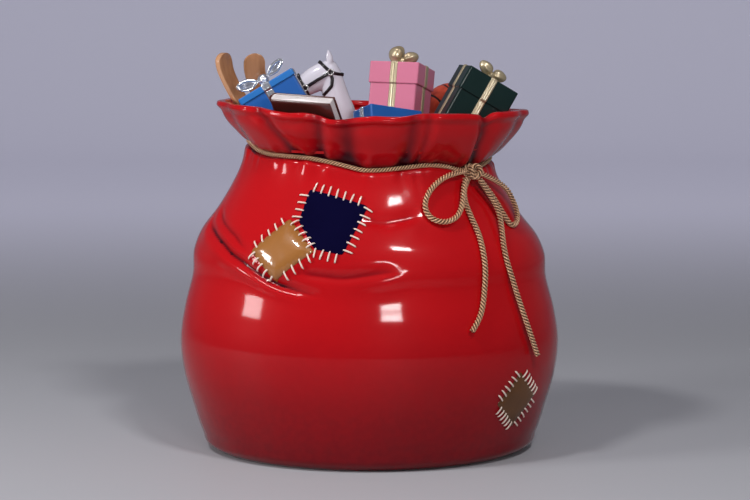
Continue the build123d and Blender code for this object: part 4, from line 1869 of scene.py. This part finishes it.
@dataclass(frozen=True)
class Ball:
    """A small ball with let-in seams.

    Attributes:
        radius: of the ball.
        place: x and y of its middle.
        turn: how it is turned, in degrees.
        seam, depth: half the breadth of a seam, and its depth.
    """

    radius: float = 0.066
    place: Pair = (0.191, 0.125)
    turn: Point = (70, 15, 25)
    seam: float = 0.0022
    depth: float = 0.0018

    def build(self) -> None:
        """Makes the ball: radius less depth * bell(distance from the nearest seam).

        On a ball of radius 1 the seams lie at x = 0, at y = 0 and at |x| = 0.52 + 0.12 y^2.
        """
        up, around = np.meshgrid(np.linspace(0.01, np.pi - 0.01, 220), round_turn(360), indexing="ij")
        way = np.stack([np.sin(up) * np.cos(around), np.sin(up) * np.sin(around), np.cos(up)], -1)
        x, y = way[..., 0], way[..., 1]
        curved = np.abs(x) - 0.52 - 0.12 * y ** 2
        away = np.minimum.reduce([np.abs(y), np.abs(x), np.abs(curved)]) * self.radius
        groove = bell(away, self.seam)
        centre = np.array([*self.place, stand_height() + self.radius])
        points = (way * (self.radius - self.depth * groove)[..., None]) @ turning(self.turn).T + centre
        surface = grid(points, capped=True, values={"seam": ramp(groove, 0.25, 0.6)})
        piece("ball_cover", surface, BALL, Body.BALL, ("ball", "ball_seams"))


@dataclass(frozen=True)
class Limb:
    """A rounded form along a line in the upright plane, such as a neck or a head.

    Attributes:
        stations: x, height, half height across the line and half thickness of each section.
        y: depth of the plane.
        base: height that the stations are measured from.
    """

    stations: Fours
    y: float
    base: float

    def at(self, along: Array, around: Array) -> Array:
        """Points on the form.

        A point is the line's point at that share, plus (half height) cos a along the line's normal
        and (half thickness) sin a in depth.

        Args:
            along: share of the way along the line.
            around: angle round it, in degrees, 0 on top and 90 towards the viewer.

        Returns:
            The points.
        """
        table = np.array(self.stations)
        share = np.linspace(0, 1, len(table))
        x, z, tall, thick = (smooth_through(along, share, table[:, k]) for k in range(4))
        dx, dz = (smooth_through(along + 0.004, share, table[:, k])
                  - smooth_through(along - 0.004, share, table[:, k]) for k in (0, 1))
        run = np.hypot(dx, dz)
        a = np.radians(around)
        reach = tall * np.cos(a)
        return np.stack([x - reach * dz / run, self.y - thick * np.sin(a),
                         self.base + z + reach * dx / run], -1)

    def surface(self, rows: int = 70, columns: int = 72) -> Surface:
        """The form, closed at both ends.

        Args:
            rows: sections along it.
            columns: points round it.

        Returns:
            A closed surface.
        """
        along, around = np.meshgrid(np.linspace(0.005, 0.995, rows),
                                    np.arange(columns) * 360 / columns, indexing="ij")
        return grid(self.at(along, around), capped=True)


@dataclass(frozen=True)
class Horse:
    """A toy horse's head and neck with its bridle.

    Attributes:
        y: depth of its plane.
        strap_width, strap_thickness: of the straps.
        neck, head, ear: their stations, as a Limb's.
        ear_apart: how far each ear stands from the plane.
        straps: x and height of points along each strap.
        ring_places: x and height of each ring.
        ring_out: how far the rings' middles stand off the head.
        ring_radius, ring_bar: of a ring, and of its bar.
    """

    y: float = 0.150
    strap_width: float = 0.008
    strap_thickness: float = 0.0024
    neck: Fours = (
        (-0.058, 0.000, 0.038, 0.0215), (-0.066, 0.050, 0.036, 0.0215), (-0.080, 0.100, 0.031, 0.0215),
        (-0.092, 0.150, 0.026, 0.020), (-0.096, 0.174, 0.018, 0.016), (-0.097, 0.185, 0.008, 0.008))
    head: Fours = (
        (-0.083, 0.168, 0.010, 0.009), (-0.100, 0.157, 0.026, 0.019), (-0.125, 0.141, 0.030, 0.0215),
        (-0.151, 0.125, 0.026, 0.0195), (-0.172, 0.112, 0.022, 0.0175), (-0.184, 0.104, 0.017, 0.0145),
        (-0.190, 0.101, 0.008, 0.008))
    ear: Fours = (
        (-0.094, 0.176, 0.007, 0.006), (-0.094, 0.188, 0.0085, 0.0055), (-0.096, 0.200, 0.0055, 0.004),
        (-0.098, 0.209, 0.0012, 0.0012))
    straps: tuple[Pairs, ...] = (
        ((-0.170, 0.152), (-0.160, 0.132), (-0.151, 0.120), (-0.142, 0.098)),
        ((-0.151, 0.120), (-0.120, 0.140), (-0.091, 0.157)),
        ((-0.119, 0.181), (-0.104, 0.168), (-0.091, 0.157)),
        ((-0.091, 0.157), (-0.078, 0.153), (-0.062, 0.150)),
        ((-0.091, 0.157), (-0.087, 0.140), (-0.089, 0.124), (-0.108, 0.102)))
    ring_places: Pairs = ((-0.151, 0.120), (-0.091, 0.157))
    ring_out: float = 0.0045
    ring_radius: float = 0.0068
    ring_bar: float = 0.0016
    ear_apart: float = 0.010

    def half_thickness(self, x: Array, z: Array) -> Array:
        """Half the form's thickness at places on its plane: the most that the neck and the head give.

        A section of half height h and half thickness t is t sqrt(1 - (d / h)^2) thick at d from its line.

        Args:
            x: across.
            z: height above the shelf.

        Returns:
            The half thickness.
        """
        most = np.full(x.shape, 0.002)
        for stations in (self.neck, self.head):
            table = np.array(stations)
            share = np.linspace(0, 1, len(table))
            along = np.linspace(0.04, 0.96, 160)
            lines = [smooth_through(along, share, table[:, k]) for k in range(4)]
            away = np.hypot(x[..., None] - lines[0], z[..., None] - lines[1])
            near = np.argmin(away, axis=-1)
            tall, thick = lines[2][near], lines[3][near]
            share_off = np.clip(np.min(away, axis=-1) / tall, 0, 1)
            most = np.maximum(most, thick * np.sqrt(1 - share_off ** 2))
        return most

    def strap(self, corners: Pairs, side: int, base: float) -> Surface:
        """A strap that lies on one side of the form.

        Args:
            corners: places on the form's plane.
            side: -1 towards the viewer, 1 away.
            base: height of the shelf.

        Returns:
            A closed surface.
        """
        line = eased(resampled(np.array([(x, 0.0, z) for x, z in corners]), 0.0015), 6)
        depth = self.half_thickness(line[:, 0], line[:, 2]) + 0.0006
        depth = eased(np.stack([depth, depth, depth], -1), 8)[:, 0]
        path = np.stack([line[:, 0], self.y + side * depth, base + line[:, 2]], -1)
        tangent = tangents(path)
        across = np.stack([-tangent[:, 2], 0 * depth, tangent[:, 0]], -1)
        outward = np.cross(across, tangent)[:, 1].mean() * side
        return band(path, across if outward > 0 else -across, np.full(len(path), self.strap_width),
                    self.strap_thickness, 0, False)

    def build(self) -> None:
        """Makes the head and neck, the straps and the rings."""
        base = stand_height()
        parts = [Limb(stations, self.y, base).surface() for stations in (self.neck, self.head)]
        parts += [Limb(self.ear, self.y + side * self.ear_apart, base).surface(30, 24) for side in (-1, 1)]
        made = piece("horse_head_and_neck", joined(parts), WHITE, Body.HORSE, ("horse_head",))
        remesh = made.modifiers.new("join", "REMESH")
        remesh.mode = "VOXEL"
        remesh.voxel_size = 0.0016
        remesh.use_smooth_shade = True
        smooth = made.modifiers.new("soften", "SMOOTH")
        smooth.factor = 0.5
        smooth.iterations = 10
        straps = [self.strap(corners, side, base) for corners in self.straps for side in (-1, 1)]
        piece("bridle_straps", joined(straps), BLACK, Body.HORSE, ("horse_bridle",))
        rings = []
        t = round_turn(48)
        section = round_turn(14)[None, :, None]
        for (x, z), side in ((place, side) for place in self.ring_places for side in (-1, 1)):
            depth = float(self.half_thickness(np.array(x), np.array(z))) + self.ring_out
            centre = np.array([x, self.y + side * depth, base + z])
            line = centre + self.ring_radius * np.stack([np.cos(t), 0 * t, np.sin(t)], -1)
            round_bar = np.cos(section) * unit(line - centre)[:, None] + np.sin(section) * (0.0, 1.0, 0.0)
            rings.append(grid(line[:, None] + self.ring_bar * round_bar, round_rows=True))
        piece("bridle_rings", joined(rings), STEEL, Body.HORSE, ("horse_rings",))


@dataclass(frozen=True)
class Ski:
    """A toy ski that stands on its tail.

    Attributes:
        name: its node.
        body: what it rides on.
        heading: turn about the upright, in degrees.
        y: depth of its middle.
        sections: x, height and width of each section.
        thickness: of the board.
    """

    name: str
    body: Body
    heading: float
    y: float
    sections: tuple[Point, ...]
    thickness: float = 0.014

    def build(self) -> None:
        """Makes the ski: a rounded bar's section at each height, its tip drawn in as a half circle.

        The section is the curve |cos|^9 + |sin|^9 = 1, and the value "edge" is 1 at its two ends.
        """
        table = np.array(self.sections)
        share = np.linspace(0, 1, len(table))
        towards_tip = 0.8 + 0.2 * np.sin(np.linspace(0, np.pi / 2, 28))[1:]
        along = np.concatenate([np.linspace(0, 0.8, 40), towards_tip])
        x, z = (smooth_through(along, share, table[:, k]) for k in (0, 1))
        width = np.interp(along, share, table[:, 2])
        half = width.max() / 2
        top = z[-1] - z
        round_tip = half * np.sqrt(np.clip(1 - (1 - np.clip(top / (0.9 * half), 0, 1)) ** 2, 0.004, 1))
        half_width = np.minimum(half, np.maximum(round_tip, 0.002))
        thick = np.minimum(self.thickness / 2, 0.4 * self.thickness + half_width * 0.2)
        section = round_turn(44)
        reach = 1.0 / (np.abs(np.cos(section)) ** 9 + np.abs(np.sin(section)) ** 9) ** (1 / 9)
        across, through, _ = turning((0, 0, self.heading)).T
        middle = np.stack([x, np.full(len(x), self.y), stand_height() + z], -1)
        points = (middle[:, None] + (half_width[:, None] * reach * np.cos(section))[..., None] * across
                  + (thick[:, None] * reach * np.sin(section))[..., None] * through)
        edge = np.broadcast_to(ramp(np.abs(np.cos(section)) * reach, 0.86, 0.96), points.shape[:2])
        surface = grid(points, capped=True, values={"edge": np.ascontiguousarray(edge)})
        piece(f"{self.name}_board", surface, WOOD, self.body, (self.name,))


SKIS = (
    Ski("left_ski", Body.LEFT_SKI, 55, 0.070,
        ((-0.240, 0, 0.050), (-0.273, 0.055, 0.050), (-0.306, 0.105, 0.050), (-0.331, 0.156, 0.050),
         (-0.338, 0.186, 0.044), (-0.337, 0.205, 0.022))),
    Ski("right_ski", Body.RIGHT_SKI, 4, 0.110,
        ((-0.205, 0, 0.050), (-0.228, 0.050, 0.050), (-0.251, 0.100, 0.050), (-0.267, 0.154, 0.050),
         (-0.269, 0.182, 0.046), (-0.267, 0.202, 0.024))),
)


# ---- light and camera ----


@dataclass(frozen=True)
class Lamp:
    """A soft rectangular lamp.

    Attributes:
        name: its name.
        place: where it hangs.
        at: what it points at.
        size: its width and height.
        power: watts.
    """

    name: str
    place: Point
    at: Point
    size: Pair
    power: float

    def build(self) -> None:
        """Hangs the lamp and turns it to what it points at."""
        data = bpy.data.lights.new(self.name, "AREA")
        data.shape = "RECTANGLE"
        data.size, data.size_y = self.size
        data.energy = self.power
        lamp = added(self.name, data)
        lamp.location = self.place
        x, y, z = np.array(self.at) - np.array(self.place)
        lamp.rotation_euler = (math.atan2(math.hypot(x, y), -z), 0, math.atan2(-x, y))


LAMPS = (
    Lamp("key", (1.15, -2.75, 3.45), (0, -0.2, 0.5), (0.62, 0.34), 64),
    Lamp("low window", (0.85, -4.25, 1.55), (0, -0.2, 0.5), (0.76, 0.22), 30),
    Lamp("left window", (-3.85, -1.75, 1.62), (-0.2, -0.2, 0.45), (0.95, 1.05), 82),
    Lamp("top left", (-1.9, -2.2, 4.3), (0, -0.2, 0.5), (0.62, 0.42), 68),
)


@dataclass
class Studio:
    """The floor, the world and the camera.

    Attributes:
        camera_place: where the camera stands.
        camera_down: how far it looks down, in degrees.
        lens: its focal length in millimetres.
        reach: how far the floor runs to each side.
        wall_foot, wall_curve: where the floor starts to rise, and by what radius.
        near, far: the floor's colour round the object and at the back.
        glow: what the camera sees added at the back, 1 for white.
    """

    camera_place: Point = (0.013, -5.28, 1.139)
    camera_down: float = 7.34
    lens: float = 110.4
    reach: float = 11.0
    wall_foot: float = 7.5
    wall_curve: float = 2.4
    near: Colour = (0.45, 0.45, 0.48)
    far: Colour = (0.68, 0.67, 0.76)
    glow: float = 0.24

    def floor(self) -> None:
        """A pale floor that curves up, curve (1 - sqrt(1 - (behind / curve)^2)), into a pale wall."""
        across, along = np.meshgrid(np.linspace(-self.reach, self.reach, 40),
                                    np.linspace(-10, self.reach, 90))
        curve = self.wall_curve
        behind = np.clip(along - self.wall_foot, 0, None)
        height = curve * (1 - np.sqrt(1 - (np.minimum(behind, curve) / curve) ** 2))
        height = height + 13.2 * np.clip(behind - curve, 0, None)
        forward = np.minimum(along, self.wall_foot + curve)
        surface = grid(np.stack([across, forward, height], -1), round_columns=False)
        made = added("floor", surface.mesh("floor"))
        nodes = Nodes("pale floor")
        apart = nodes.add("ShaderNodeSeparateXYZ")
        nodes.link(nodes.place(), apart.inputs["Vector"])
        far = nodes.band(apart.outputs["Y"], 1.2, 5.5)
        nodes.dye(far, self.near, self.far)
        seen = nodes.add("ShaderNodeLightPath").outputs["Is Camera Ray"]
        nodes.link(nodes.maths("MULTIPLY", nodes.maths("MULTIPLY", far, seen), self.glow),
                   nodes.shader.inputs["Emission Strength"])
        set_inputs(nodes.shader, Emission_Color=(0.80, 0.78, 1.0, 1), Roughness=0.6)
        made.data.materials.append(nodes.material)

    def build(self) -> None:
        """Sets up the floor, the lamps, the world and the camera."""
        self.floor()
        for lamp in LAMPS:
            lamp.build()
        world = bpy.data.worlds.new("studio")
        world.use_nodes = True
        set_inputs(world.node_tree.nodes["Background"], Color=(0.72, 0.74, 0.84, 1), Strength=0.20)
        bpy.context.scene.world = world
        bpy.context.scene.view_settings.view_transform = "Standard"
        data = bpy.data.cameras.new("camera")
        data.lens = self.lens
        data.sensor_width = 36
        camera = added("camera", data)
        camera.location = self.camera_place
        camera.rotation_euler = (math.radians(90 - self.camera_down), 0, 0)
        bpy.context.scene.camera = camera


def main() -> None:
    """Builds the prop piece by piece and reports each."""
    logging.basicConfig(level=logging.INFO, format="%(message)s")
    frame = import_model()
    form = SackForm()
    piece("sack_skin", form.body_shell(), RED, Body.SACK, ("sack_body",))
    piece("collar_skin", form.collar_shell(), RED, Body.SACK, ("sack_ruff",))
    for patch in PATCHES:
        patch.build(form)
    Tie().build(form)
    for gift in GIFTS:
        gift.build()
    Book().build()
    Ball().build()
    Horse().build()
    for ski in SKIS:
        ski.build()
    for name in ("base_plate", "gift_shelf"):
        for holder in frame["nodes"][name].material_slots:
            holder.material = RED.material()
    Studio().build()


if __name__ == "__main__":
    main()
